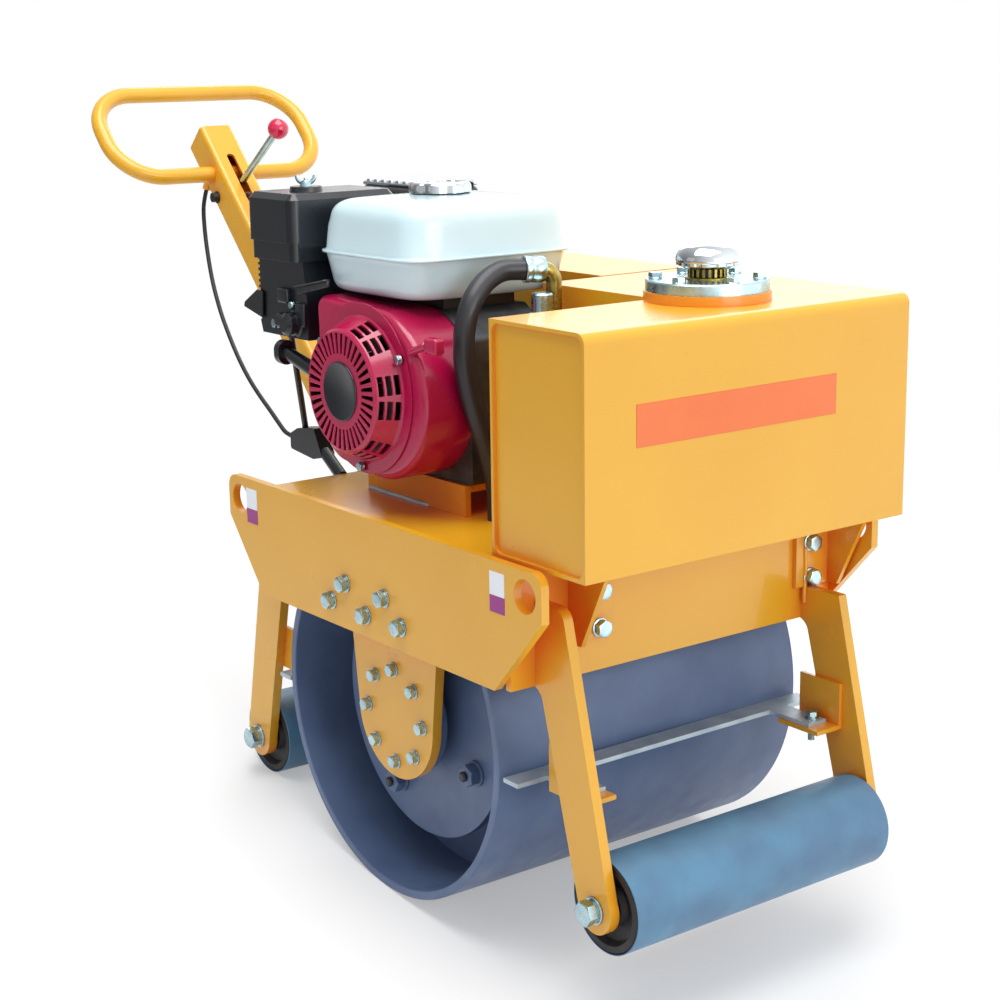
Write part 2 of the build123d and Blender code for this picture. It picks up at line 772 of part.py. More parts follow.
# The recoil starter's cover: a turned cup with a ring of radial slots in its face and
# groups of square vents round its side.
recoil_plane = Plane((crank_x, shroud_front_y, crank_z), x_dir=(1, 0, 0), z_dir=(0, 0, 1))
recoil_depth = shroud_front_y - recoil_face_y
with BuildPart() as recoil_starter:
    with BuildSketch(recoil_plane):
        with BuildLine():
            Polyline(
                (0, -recoil_depth),
                (recoil_face_radius - 3, -recoil_depth),
                (recoil_face_radius, -recoil_depth + 3),
                (recoil_base_radius, -recoil_sheet - 3),
                (recoil_base_radius + 3, -recoil_sheet),
                (recoil_flange_radius, -recoil_sheet),
                (recoil_flange_radius, 0),
                (recoil_base_radius + 1, 0),
                (recoil_base_radius - recoil_sheet, -recoil_sheet - 2),
                (recoil_face_radius - recoil_sheet, -recoil_depth + recoil_sheet + 2),
                (recoil_face_radius - recoil_sheet - 2, -recoil_depth + recoil_sheet),
                (0, -recoil_depth + recoil_sheet),
                close=True,
            )
        make_face()
    revolve(axis=Axis((crank_x, 0, crank_z), (0, 1, 0)))
    with BuildSketch(right_plane(-recoil_face_y)):
        with Locations((crank_x, crank_z)):
            with PolarLocations(0, slot_count):
                Polygon(
                    (slot_inner_radius, -slot_inner_width / 2),
                    (slot_outer_radius, -slot_outer_width / 2),
                    (slot_outer_radius, slot_outer_width / 2),
                    (slot_inner_radius, slot_inner_width / 2),
                    align=None,
                )
    extrude(amount=-2 * recoil_sheet, mode=Mode.SUBTRACT)
    for group_angle in vent_group_angles:
        for row in (-1, 1):
            angle = radians(group_angle + row * vent_row_step / 2)
            out = Vector(cos(angle), 0, sin(angle))
            vent_plane = Plane((crank_x, 0, crank_z), x_dir=(0, 1, 0), z_dir=tuple(out))
            with BuildSketch(vent_plane.offset(recoil_face_radius - 12)):
                with Locations((shroud_front_y - recoil_depth / 2 + 0.5, 0)):
                    with GridLocations(vent_pitch, 1, vent_columns, 1):
                        RectangleRounded(vent_width, vent_length, 1)
            extrude(amount=30, mode=Mode.SUBTRACT)

with BuildPart() as cylinder_head:
    with BuildSketch(right_plane(-20)):
        with BuildLine(Plane((crank_x, crank_z))):
            Polyline(
                (-80, 20), (-50, 88), (-113, 94), (-133, head_top), (-190, head_top),
                (-190, 50), (-130, 20),
                close=True,
            )
        make_face()
    extrude(amount=100)

fuel_x, fuel_y = (fuel_rear + fuel_front) / 2, (fuel_right + fuel_left) / 2
fuel_length, fuel_width = fuel_front - fuel_rear, fuel_left - fuel_right
with BuildPart() as fuel_tank:
    with BuildSketch(Plane.XY.offset(seam_z)):
        with Locations((fuel_x, fuel_y)):
            RectangleRounded(fuel_length - 2 * fuel_lip, fuel_width - 2 * fuel_lip, 26)
    extrude(amount=fuel_height, taper=2.5)
    fillet(fuel_tank.faces().sort_by(Axis.Z)[-1].edges(), radius=20)
    with BuildSketch(Plane.XY.offset(seam_z)):
        with Locations((fuel_x, fuel_y)):
            RectangleRounded(fuel_length - 2 * fuel_lip, fuel_width - 2 * fuel_lip, 26)
    extrude(amount=-fuel_depth, taper=7)
    fillet(fuel_tank.faces().sort_by(Axis.Z)[0].edges(), radius=9)
    with BuildSketch(Plane.XY.offset(seam_z - 1.5)):
        with Locations((fuel_x, fuel_y)):
            RectangleRounded(fuel_length, fuel_width, 16)
    extrude(amount=3)
    with BuildSketch(Plane.XY.offset(seam_z - fuel_depth + 3)):
        with Locations((fuel_x, fuel_y)):
            RectangleRounded(fuel_length - 34, fuel_width - 34, 18)
    extrude(amount=fuel_height + fuel_depth - 9, mode=Mode.SUBTRACT)

with BuildPart() as fuel_cap:
    with BuildSketch(Plane.XY.offset(seam_z + fuel_height)):
        with Locations((fuel_x - 2, fuel_y)):
            Circle(39)
            with PolarLocations(41.5, 8, start_angle=22.5):
                Circle(7, mode=Mode.SUBTRACT)
    extrude(amount=15)
    chamfer(fuel_cap.faces().sort_by(Axis.Z)[-1].edges(), length=2)

with BuildPart() as tank_saddle:
    with BuildSketch(Plane.XY.offset(crank_z + 88)):
        with Locations((crank_x + 5, -70)):
            Rectangle(100, 100)
    extrude(amount=seam_z - fuel_depth - crank_z - 88)

cleaner_x, cleaner_y = (cleaner_rear + cleaner_front) / 2, (cleaner_right + cleaner_left) / 2
cleaner_cap_offset = (8.0, -26.0)
cleaner_cap_radius = 20.0
with BuildPart() as air_cleaner:
    with BuildSketch(Plane.XY.offset(cleaner_bottom)):
        with Locations((cleaner_x, cleaner_y)):
            RectangleRounded(cleaner_front - cleaner_rear, cleaner_left - cleaner_right, 12)
    extrude(amount=cleaner_height)
    chamfer(air_cleaner.faces().sort_by(Axis.Z)[-1].edges(), length=7)
    with BuildSketch(Plane.XY.offset(cleaner_bottom)):
        with Locations((cleaner_x, cleaner_y)):
            RectangleRounded(cleaner_front - cleaner_rear, cleaner_left - cleaner_right, 12)
            RectangleRounded(cleaner_front - cleaner_rear - 6, cleaner_left - cleaner_right - 6, 9,
                             mode=Mode.SUBTRACT)
    extrude(amount=cleaner_band - 3, mode=Mode.SUBTRACT)
    with BuildSketch(Plane.XY.offset(cleaner_bottom + cleaner_height)):
        with Locations((cleaner_x + cleaner_cap_offset[0], cleaner_y + cleaner_cap_offset[1])):
            Circle(cleaner_cap_radius)
    extrude(amount=6, taper=12)

# The carburettor and its linkage, boxed in under the air cleaner beside the cylinder.
carburettor_height = 93.0
rib_count = 11
rib_pitch = 7.0
with BuildPart() as carburettor:
    with BuildSketch(right_plane(88)):
        with BuildLine(Plane((cleaner_rear, cleaner_bottom))):
            Polyline(
                (-8, 0), (96, 0), (104, -47), (104, -carburettor_height),
                (-2, -carburettor_height), (-8, -75), close=True,
            )
        make_face()
    extrude(amount=100)
    with BuildSketch(right_plane(88)):
        with Locations((cleaner_rear - 8, cleaner_bottom - 6 - (rib_count - 1) * rib_pitch / 2)):
            with GridLocations(1, rib_pitch, 1, rib_count):
                Rectangle(7, 3.5)
    extrude(amount=100, mode=Mode.SUBTRACT)
    with BuildSketch(right_plane(80)):
        with Locations((crank_x - 165, crank_z + 80)):
            Circle(17)
    extrude(amount=8)

with BuildPart() as muffler:
    with BuildSketch(Plane.XY.offset(crank_z + head_top)):
        with Locations((-250, 14)):
            RectangleRounded(120, 110, 16)
    extrude(amount=100)
    fillet(muffler.faces().sort_by(Axis.Z)[-1].edges(), radius=10)
    with BuildSketch(Plane.XY.offset(crank_z + head_top + 2)):
        with Locations((-250, 14)):
            RectangleRounded(116, 106, 14)
    extrude(amount=90, mode=Mode.SUBTRACT)

# The grip of the starter's rope in its guide beside the cover.
grip_point = Vector(crank_x - 179, shroud_front_y + 6, crank_z + 20)
guide_point = Vector(crank_x - 100, shroud_front_y + 8, crank_z)
guide_run = grip_point - guide_point
with BuildPart() as starter_grip:
    with BuildSketch(Plane(origin=guide_point, z_dir=tuple(guide_run))):
        Circle(10)
    extrude(amount=guide_run.length, taper=1.5)
    with BuildSketch(Plane.YZ.offset(grip_point.X)):
        with Locations((grip_point.Y, grip_point.Z)):
            SlotOverall(30, 24, rotation=90)
    extrude(amount=-14)
    fillet(starter_grip.faces().sort_by(Axis.X)[0].edges(), radius=4)

# ---- hose and control cable -------------------------------------------------------------
run_share = 0.45  # of a corner's shorter run, taken by its arc


def tube_route(points):
    """The corner radii of a tube through these points: each near the most its runs allow."""
    radii = []
    for before, here, after in zip(points, points[1:], points[2:]):
        entering, leaving = here - before, after - here
        half_turn = radians(entering.get_angle(leaving)) / 2
        radii.append(run_share * min(entering.length, leaving.length) / tan(half_turn))
    print("tube corner radii", [round(radius) for radius in radii])
    return radii


def routed_tube(points, radius):
    """A round tube along straight runs joined by tangent arcs."""
    with BuildPart() as tube:
        with BuildLine():
            route = FilletPolyline(*points, radius=tube_route(points))
        with BuildSketch(Plane(origin=route @ 0, z_dir=route % 0)):
            Circle(radius)
        sweep()
    return tube


junction_x, junction_y, junction_z = -340.0, -102.0, deck_top + 25.5
junction_outline = ((-36, 8), (-18, 17), (22, 23), (41, -13), (19, -18), (-36, -12))
boot_start = Vector(junction_x + 34, junction_y - 1, junction_z - 8)
boot_end = Vector(-cross_x, -111, deck_bottom)
with BuildPart() as cable_junction:
    with BuildSketch(right_plane(-junction_y - 10)):
        with BuildLine(Plane((junction_x, junction_z))):
            Polyline(*junction_outline, close=True)
        make_face()
        fillet(vertices(), radius=4)
    extrude(amount=20)
    with BuildSketch(Plane(origin=boot_start, z_dir=tuple(boot_end - boot_start))):
        Circle(8)
    extrude(amount=(boot_end - boot_start).length + 20)
    split(bisect_by=Plane.YZ.offset(-cross_x), keep=Keep.BOTTOM)

control_cable = routed_tube(cable_points, cable_radius)
# The hydraulic hose, from its elbow over the tank's arm down through the deck.
# columns: x, y, height above the deck
hose_points = above_deck((
    (66, -64, 277.5), (58, -90, 278.5), (60, -116, 267.5), (64, -138, 246.5),
    (65, -148, 217.5), (65, -149, 183.5), (65, -142, 147.5), (66, -130, 111.5),
    (67, -117, 75.5), (68, -108, 35.5), (68, -108, 0),
))
hydraulic_hose = routed_tube(hose_points, hose_radius)

# The steel elbow that takes the hose into the hydraulic tank in the water tank's arm.
fitting_drop = 33.5  # from the tank's top down to the elbow's foot
fitting_corner = hose_points[0] + (hose_points[0] - hose_points[1]).normalized() * 34
fitting_foot = Vector(fitting_corner.X, fitting_corner.Y, tank_top - fitting_drop)
with BuildPart() as hose_fitting:
    with BuildLine():
        elbow = FilletPolyline(hose_points[0], fitting_corner, fitting_foot, radius=15)
    with BuildSketch(Plane(origin=elbow @ 0, z_dir=elbow % 0)):
        Circle(9)
    sweep()
    with BuildSketch(Plane.XY.offset(fitting_foot.Z)):
        with Locations((fitting_foot.X, fitting_foot.Y)):
            Circle(14)
    extrude(amount=-24)
    with BuildSketch(Plane.XY.offset(fitting_foot.Z - 30)):
        with Locations((fitting_foot.X, (tank_notch_y - 46) / 2)):
            Rectangle(40, 46 + tank_notch_y)
    extrude(amount=6)
    ferrule_run = (hose_points[0] - hose_points[1]).normalized()
    with BuildSketch(Plane(origin=hose_points[0], z_dir=tuple(ferrule_run))):
        Circle(hose_radius + 1)
    extrude(amount=20)

rod_top = Vector(-292, -155, cleaner_bottom - carburettor_height)
rod_bottom = Vector(junction_x - 12, junction_y, junction_z + 10)
with BuildPart() as throttle_rod:
    with BuildSketch(Plane(origin=rod_bottom, z_dir=tuple(rod_top - rod_bottom))):
        Circle(4)
    extrude(amount=(rod_top - rod_bottom).length + 10)
    split(bisect_by=Plane.XY.offset(rod_top.Z), keep=Keep.BOTTOM)
    add(cable_junction.part, mode=Mode.SUBTRACT)

# ---- parked stance ----------------------------------------------------------------------
# The level machine turns about the drum's axis until the rear roller meets the ground.
roller_distance = hypot(rear_axle_x, axis_z - rear_axle_z)
lean = asin((drum_radius - roller_radius) / roller_distance) - atan2(
    axis_z - rear_axle_z, -rear_axle_x
)
lean_degrees = -degrees(lean)
turn = Location((0, 0, axis_z)) * Location((0, 0, 0), (0, lean_degrees, 0)) * Location((0, 0, -axis_z))

pieces = {
    "side_plate_right": side_plate_right,
    "side_plate_left": side_plate_left,
    "deck": deck,
    "front_cross_plate": front_cross_plate,
    "rear_cross_plate": rear_cross_plate,
    "front_leg_right": front_leg_right,
    "front_leg_left": front_leg_left,
    "rear_leg_right": rear_leg_right,
    "rear_leg_left": rear_leg_left,
    "tank_brackets": tank_brackets,
    "drum": drum,
    "drum_webs": drum_webs,
    "hub_plate_right": hub_plate_right,
    "hub_plate_left": hub_plate_left,
    "rubber_buffers": rubber_buffers,
    "axle_tube": axle_tube,
    "hanger_right": hanger_right,
    "hanger_left": hanger_left,
    "front_roller": front_roller,
    "front_roller_ends": front_roller_ends,
    "front_axle": front_axle,
    "rear_roller": rear_roller,
    "rear_roller_ends": rear_roller_ends,
    "rear_axle": rear_axle,
    "front_scraper": front_scraper,
    "rear_scraper": rear_scraper,
    "scraper_brackets": scraper_brackets,
    "water_tank": water_tank,
    "filler_neck": filler_neck,
    "filler_flange": filler_flange,
    "breather_cap": breather_cap,
    "belt_guard": belt_guard,
    "tank_rails": tank_rails,
    "hydraulic_pump": hydraulic_pump,
    "handle_loop": handle_loop,
    "drawbar": drawbar,
    "handle_bracket": handle_bracket,
    "shift_lever": shift_lever,
    "engine_base": engine_base,
    "crankcase": crankcase,
    "output_shaft": output_shaft,
    "fan_shroud": fan_shroud,
    "recoil_starter": recoil_starter,
    "cylinder_head": cylinder_head,
    "fuel_tank": fuel_tank,
    "fuel_cap": fuel_cap,
    "tank_saddle": tank_saddle,
    "air_cleaner": air_cleaner,
    "carburettor": carburettor,
    "muffler": muffler,
    "starter_grip": starter_grip,
    "cable_junction": cable_junction,
    "control_cable": control_cable,
    "throttle_rod": throttle_rod,
    "hydraulic_hose": hydraulic_hose,
    "hose_fitting": hose_fitting,
}
parked = {name: piece.part.moved(turn) for name, piece in pieces.items()}
boxes = [part.bounding_box() for part in parked.values()]
low_x = min(box.min.X for box in boxes)
high_x = max(box.max.X for box in boxes)
low_y = min(box.min.Y for box in boxes)
high_y = max(box.max.Y for box in boxes)
centring = Location((-(low_x + high_x) / 2, -(low_y + high_y) / 2, 0))

os.makedirs("parts", exist_ok=True)
for name, part in parked.items():
    placed = part.moved(centring)
    placed.label = name
    export_step(placed, f"parts/{name}.step")

for name, place in {
    "drum axis": (0, 0, axis_z),
    "front roller axis": (front_axle_x, 0, front_axle_z),
    "rear roller axis": (rear_axle_x, 0, rear_axle_z),
    "front lifting hole": (
        drum_radius + side_plate_front - lifting_hole_inset,
        -(side_inner + side_outer) / 2,
        side_top - lifting_hole_drop,
    ),
    "rear lifting hole": (
        -(drum_radius + side_plate_rear) + lifting_hole_inset,
        -(side_inner + side_outer) / 2,
        side_top - lifting_hole_drop,
    ),
    "middle of the hand gap": tuple(drawbar_point(handle_drop - handle_width / 2)),
}.items():
    print(name, (centring * turn * Location(place)).position)
print("lean", lean_degrees, "x", low_x, high_x, "y", low_y, high_y)
print("z", min(box.min.Z for box in boxes), max(box.max.Z for box in boxes))
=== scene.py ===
"""Looks of a walk-behind vibratory road roller, built round its packed construction model.

New pieces are stated in millimetres in the level machine's own frame: +X forwards to the
water tank, +Y to the machine's left, +Z up, origin on the ground line under the drum's axis.
Stance carries them to the parked machine, in metres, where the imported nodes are.
"""

import json
import logging
import math
from dataclasses import dataclass, field
from enum import Enum
from typing import Any, Iterable, Optional, Sequence

import bmesh
import bpy
import numpy as np
from mathutils import Matrix, Vector

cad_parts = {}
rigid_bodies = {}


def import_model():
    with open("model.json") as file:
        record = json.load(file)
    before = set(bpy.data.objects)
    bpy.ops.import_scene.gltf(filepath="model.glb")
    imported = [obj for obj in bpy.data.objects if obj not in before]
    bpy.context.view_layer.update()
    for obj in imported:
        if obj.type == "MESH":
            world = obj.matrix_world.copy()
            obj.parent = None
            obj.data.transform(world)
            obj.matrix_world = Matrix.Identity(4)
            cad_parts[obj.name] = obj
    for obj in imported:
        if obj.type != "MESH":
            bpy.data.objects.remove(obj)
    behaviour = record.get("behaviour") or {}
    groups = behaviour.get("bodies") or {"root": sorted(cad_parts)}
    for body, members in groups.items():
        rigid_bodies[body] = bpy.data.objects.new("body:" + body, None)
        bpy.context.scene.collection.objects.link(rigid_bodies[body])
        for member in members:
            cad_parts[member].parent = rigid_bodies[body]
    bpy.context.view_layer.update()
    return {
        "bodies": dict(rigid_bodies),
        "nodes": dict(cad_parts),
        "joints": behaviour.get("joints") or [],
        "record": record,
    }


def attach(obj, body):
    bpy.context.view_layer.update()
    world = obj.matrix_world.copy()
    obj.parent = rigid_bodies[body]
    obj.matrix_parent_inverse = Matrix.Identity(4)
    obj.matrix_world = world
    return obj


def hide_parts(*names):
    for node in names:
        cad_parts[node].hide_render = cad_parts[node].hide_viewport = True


LOG = logging.getLogger("road_roller")
MM = 0.001
Tree = bpy.types.NodeTree
Socket = bpy.types.NodeSocket
Point = Sequence[float]
Pair = tuple[float, float]
Triple = tuple[float, float, float]
Profile = tuple[Pair, ...]  # radius and height of each row of a turned form, in millimetres
RIGHT: Triple = (0.0, -1.0, 0.0)
FORWARDS: Triple = (1.0, 0.0, 0.0)
ACROSS: Triple = (0.0, 1.0, 0.0)
UP: Triple = (0.0, 0.0, 1.0)
DOWN: Triple = (0.0, 0.0, -1.0)


class Body(Enum):
    """The rigid bodies of the machine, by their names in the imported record."""

    FRAME = "frame"
    DRUM = "drum"
    FRONT_ROLLER = "front_roller"
    REAR_ROLLER = "rear_roller"


# places that several pieces share, as x and z on the level machine
DRUM_AXIS: Pair = (0.0, 212.5)
ROLLER_AXLES: dict[Body, Pair] = {Body.FRONT_ROLLER: (346.0, 95.0), Body.REAR_ROLLER: (-337.0, 90.0)}
CRANK: Pair = (-67.0, 582.5)
FILM_THICK = 0.35  # of calendered vinyl with its glue


# ---- colour, nodes and finishes ---------------------------------------------------------
def linear(hex_colour: str) -> tuple[float, float, float, float]:
    """Turns an sRGB hex colour to linear RGBA.

    Args:
        hex_colour: Six hex digits, such as "e9a23b".

    Returns:
        Red, green, blue and an alpha of 1, in linear light.
    """
    values = np.array([int(hex_colour[i : i + 2], 16) for i in (0, 2, 4)]) / 255
    low, high = values / 12.92, ((values + 0.055) / 1.055) ** 2.4
    red, green, blue = np.where(values <= 0.04045, low, high)
    return float(red), float(green), float(blue), 1.0


def add_node(tree: Tree, kind: str, **settings: Any) -> bpy.types.Node:
    """Adds a node with its settings and links.

    Args:
        tree: The node tree.
        kind: The node's type name.
        settings: A socket's name with spaces as underscores, given a value or an output
            socket to link from, or else a property of the node.

    Returns:
        The new node.
    """
    node = tree.nodes.new(kind)
    late = {}
    for name, value in settings.items():
        if hasattr(node, name) and not isinstance(value, Socket):
            setattr(node, name, value)
        else:
            late[name] = value
    for name, value in late.items():
        socket = node.inputs[int(name[1:])] if name[1:].isdigit() else node.inputs[name.replace("_", " ")]
        if isinstance(value, Socket):
            tree.links.new(value, socket)
        else:
            socket.default_value = value
    return node


TONE_SPAN = (0.35, 0.65)  # where a noise, which keeps near a half, is one tone and the other
PATCH_SPAN = (0.3, 0.7)  # the same for the roughness
PATCH_RATIO = 2.7  # how much finer the roughness's patches are than the colour's
LEAST_ROUGHNESS = 0.02
COAT_ROUGHNESS = 0.06  # of clear lacquer
PAINTED_SHADE_SPAN = (0.15, 0.85)  # share of open sky where the painted shade is deepest, and where none of it is left


@dataclass(frozen=True)
class Finish:
    """One surface finish, as a procedural material on Object coordinates.

    The colour drifts between two tones with a broad noise, the roughness drifts with a second
    one, and a fine noise bump gives the surface's grain. Edges are softened by a bevel, and creases
    can be darkened with painted shade. A real grain under a millimetre would not show, so it is
    drawn at a millimetre or more.
    """

    name: str
    slot: str  # the record's material slot that it stands for
    tone: str  # sRGB hex of the surface
    second_tone: str  # what it drifts towards
    metallic: float = 0.0
    roughness: float = 0.35
    roughness_drift: float = 0.08
    coat: float = 0.0
    ior: float = 1.5  # of a clear resin; a metal keeps the shader's own
    drift_mm: float = 120.0  # size of the broad patches
    grain_mm: float = 3.0  # size of the fine bumps
    grain_depth_mm: float = 0.02
    edge_mm: float = 0.8  # radius that edges are softened to
    stretch: Triple = (1.0, 1.0, 1.0)  # grain drawn out along an axis, as brushing does
    painted_shade_tone: str = ""  # sRGB hex of the painted shade that creases turn to, none if empty
    painted_shade_mm: float = 20.0  # how far off a neighbour still casts painted shade
    painted_shade_share: float = 0.6  # how much of that painted shade tone the deepest crease takes

    def build(self) -> bpy.types.Material:
        """Makes the material.

        Returns:
            The material, with its nodes.
        """
        material = bpy.data.materials.new(self.name)
        material.use_nodes = True
        tree = material.node_tree
        shader = tree.nodes["Principled BSDF"]
        place = add_node(tree, "ShaderNodeTexCoord").outputs["Object"]
        colour = self.drifting(tree, place)
        # where a tone is given, creases get painted shade from ambient occlusion
        if self.painted_shade_tone:
            colour = self.paint_crease_shade(tree, colour)
        tree.links.new(colour, shader.inputs["Base Color"])
        patches = add_node(
            tree, "ShaderNodeTexNoise", Vector=place, Scale=PATCH_RATIO / (self.drift_mm * MM), Detail=6.0
        ).outputs["Fac"]
        rough = add_node(
            tree, "ShaderNodeMapRange", Value=patches, From_Min=PATCH_SPAN[0], From_Max=PATCH_SPAN[1],
            To_Min=max(LEAST_ROUGHNESS, self.roughness - self.roughness_drift),
            To_Max=min(1.0, self.roughness + self.roughness_drift),
        ).outputs["Result"]
        tree.links.new(rough, shader.inputs["Roughness"])
        drawn = add_node(tree, "ShaderNodeMapping", Vector=place, Scale=self.stretch).outputs["Vector"]
        grain = add_node(
            tree, "ShaderNodeTexNoise", Vector=drawn, Scale=1 / (self.grain_mm * MM), Detail=3.0
        ).outputs["Fac"]
        soft = add_node(tree, "ShaderNodeBevel", samples=4, Radius=self.edge_mm * MM).outputs["Normal"]
        bump = add_node(
            tree, "ShaderNodeBump", Height=grain, Normal=soft, Strength=1.0,
            Distance=self.grain_depth_mm * MM,
        ).outputs["Normal"]
        tree.links.new(bump, shader.inputs["Normal"])
        shader.inputs["Metallic"].default_value = self.metallic
        if not self.metallic:
            shader.inputs["IOR"].default_value = self.ior
        shader.inputs["Coat Weight"].default_value = self.coat
        shader.inputs["Coat Roughness"].default_value = COAT_ROUGHNESS
        return material

    def drifting(self, tree: Tree, place: Socket) -> Socket:
        """The colour, in broad soft patches of its two tones.

        Args:
            tree: The material's node tree.
            place: Object coordinates.

        Returns:
            The colour.
        """
        broad = add_node(
            tree, "ShaderNodeTexNoise", Vector=place, Scale=1 / (self.drift_mm * MM), Detail=4.0
        ).outputs["Fac"]
        spread = add_node(
            tree, "ShaderNodeMapRange", Value=broad, From_Min=TONE_SPAN[0], From_Max=TONE_SPAN[1]
        ).outputs["Result"]
        tones = add_node(tree, "ShaderNodeMix", data_type="RGBA", _0=spread)
        tones.inputs[6].default_value = linear(self.tone)
        tones.inputs[7].default_value = linear(self.second_tone)
        return tones.outputs[2]

    def paint_crease_shade(self, tree: Tree, colour: Socket) -> Socket:
        """Paints shade into the colour where the surface is shut in by its neighbours, by ambient
        occlusion.

        Args:
            tree: The material's node tree.
            colour: The colour in the open.

        Returns:
            The colour with its painted shade.
        """
        open_sky = add_node(
            tree, "ShaderNodeAmbientOcclusion", samples=6, Distance=self.painted_shade_mm * MM
        ).outputs["AO"]
        painted_shade_mask = add_node(
            tree, "ShaderNodeMapRange", Value=open_sky, From_Min=PAINTED_SHADE_SPAN[0], From_Max=PAINTED_SHADE_SPAN[1],
            To_Min=self.painted_shade_share, To_Max=0.0,
        ).outputs["Result"]
        mixed = add_node(tree, "ShaderNodeMix", data_type="RGBA", _0=painted_shade_mask)
        tree.links.new(colour, mixed.inputs[6])
        mixed.inputs[7].default_value = linear(self.painted_shade_tone)
        return mixed.outputs[2]


# Gloss alkyd enamel over welded sheet steel: even colour, soft orange peel, clear reflections,
# and painted shade with painted reflected light, red-orange, where panels shut each other in.
YELLOW_ENAMEL = Finish(
    "yellow_enamel", "yellow_enamel", "dda41f", "d99f1b", roughness=0.3, roughness_drift=0.03, coat=0.3,
    drift_mm=220.0, grain_mm=7.0, grain_depth_mm=0.006, edge_mm=1.0, painted_shade_tone="e65122", painted_shade_mm=70.0,
    painted_shade_share=0.75,
)
# Semi-matte enamel rolled on to the drum: cool grey-blue, cloudy, finely pitted.
GREY_ENAMEL = Finish(
    "grey_enamel", "grey_enamel", "5a6d90", "4f6184", roughness=0.44, drift_mm=70.0, grain_mm=2.5,
    grain_depth_mm=0.03, edge_mm=1.2,
)
# The same enamel on the trailing rollers, paler where they have run.
ROLLER_ENAMEL = Finish(
    "roller_enamel", "grey_enamel", "5482a1", "4d7090", roughness=0.46, drift_mm=60.0, grain_mm=2.5,
    grain_depth_mm=0.03, edge_mm=1.0,
)
# Stoved enamel on pressed sheet: deep crimson with a hard clear gloss, and painted shade of darker crimson
# in its creases.
CRIMSON_ENAMEL = Finish(
    "crimson_enamel", "crimson_enamel", "b20948", "a80742", roughness=0.24, roughness_drift=0.04, coat=0.2,
    grain_mm=6.0, grain_depth_mm=0.01, edge_mm=1.0, painted_shade_tone="5c0628", painted_shade_mm=14.0,
)
# Stoved white enamel on the pressed fuel tank: faintly blue, smooth, glossy, with painted shade of a deeper
# blue-grey where it is shut in.
WHITE_ENAMEL = Finish(
    "white_enamel", "white_enamel", "cde4eb", "c7e0e8", roughness=0.2, roughness_drift=0.03, coat=0.5,
    grain_mm=8.0, grain_depth_mm=0.006, edge_mm=1.0, painted_shade_tone="84b6c4", painted_shade_mm=40.0,
    painted_shade_share=0.45,
)
# Black stoved enamel on the exhaust and the small brackets: satin, slightly grey.
BLACK_ENAMEL = Finish("black_enamel", "black_enamel", "17171a", "202023", roughness=0.36, grain_mm=2.0)
# Moulded black polypropylene: satin with a fine moulded grain and a bluish sheen.
BLACK_PLASTIC = Finish(
    "black_polypropylene", "black_plastic", "0c1018", "11141c", roughness=0.3, roughness_drift=0.05,
    coat=0.15, grain_mm=1.2,
)
# Moulded nitrile rubber: black, dull, soft edged.
RUBBER = Finish(
    "nitrile_rubber", "rubber", "141417", "1b1b1e", roughness=0.58, grain_mm=1.5, grain_depth_mm=0.03
)
# Hose cover of nitrile rubber, vulcanised under a cloth wrap: fine rings round its length.
HOSE_RUBBER = Finish(
    "wrapped_hose_rubber", "rubber", "16161c", "1c1d24", roughness=0.46, coat=0.15, grain_mm=1.6,
    grain_depth_mm=0.12, stretch=(0.35, 0.35, 1.6),
)
# Bright zinc plate on steel: pale and slightly blue, cloudy from the bath, with painted shade of dark grey
# in its fine creases.
ZINC = Finish(
    "zinc_plate", "zinc", "b6ced4", "9fb9c2", metallic=1.0, roughness=0.27, roughness_drift=0.05,
    drift_mm=14.0, grain_mm=1.0, grain_depth_mm=0.006, edge_mm=0.4, painted_shade_tone="3c4a52", painted_shade_mm=4.0,
)
# Zinc plate passivated yellow: an olive gold with darker clouds.
YELLOW_ZINC = Finish(
    "yellow_passivated_zinc", "chrome", "b09a52", "857a42", metallic=1.0, roughness=0.3, drift_mm=12.0,
    grain_mm=1.0, grain_depth_mm=0.008, edge_mm=0.5,
)
# Galvanised strip: blue-grey, drawn out along its length by rolling.
GALVANISED = Finish(
    "galvanised_strip", "zinc", "bccad2", "a5b5c0", metallic=0.6, roughness=0.5, drift_mm=30.0,
    grain_mm=1.5, stretch=(1.0, 0.08, 1.0),
)
# Bright chromium plate: a mirror with almost no haze, with painted shade near black in its fine creases.
CHROME = Finish(
    "chromium_plate", "chrome", "c3c9ce", "b9c0c6", metallic=1.0, roughness=0.08, roughness_drift=0.02,
    grain_mm=9.0, grain_depth_mm=0.004, edge_mm=0.5, painted_shade_tone="2b2f36", painted_shade_mm=6.0,
)
# Sand-cast aluminium, left as cast and dark with oil haze: grey and finely rough.
CAST_ALUMINIUM = Finish(
    "cast_aluminium", "cast_aluminium", "5b5d60", "47494c", metallic=0.9, roughness=0.5, drift_mm=25.0,
    grain_mm=1.2, grain_depth_mm=0.06,
)
# Phenolic ball knob: glossy red.
RED_KNOB = Finish(
    "red_phenolic", "crimson_enamel", "cb1345", "c01040", roughness=0.16, coat=0.4, grain_depth_mm=0.003
)
# Calendered vinyl film with no print on it, in its three plain colours.
ORANGE_FILM = Finish(
    "orange_vinyl", "yellow_enamel", "e2723a", "df6e36", roughness=0.38, grain_mm=4.0, grain_depth_mm=0.005
)
WHITE_FILM = Finish(
    "white_vinyl", "yellow_enamel", "e9edf4", "e3e8f0", roughness=0.36, grain_mm=4.0, grain_depth_mm=0.005
)
PURPLE_FILM = Finish(
    "purple_vinyl", "yellow_enamel", "9c2f86", "962b80", roughness=0.36, grain_mm=4.0, grain_depth_mm=0.005
)


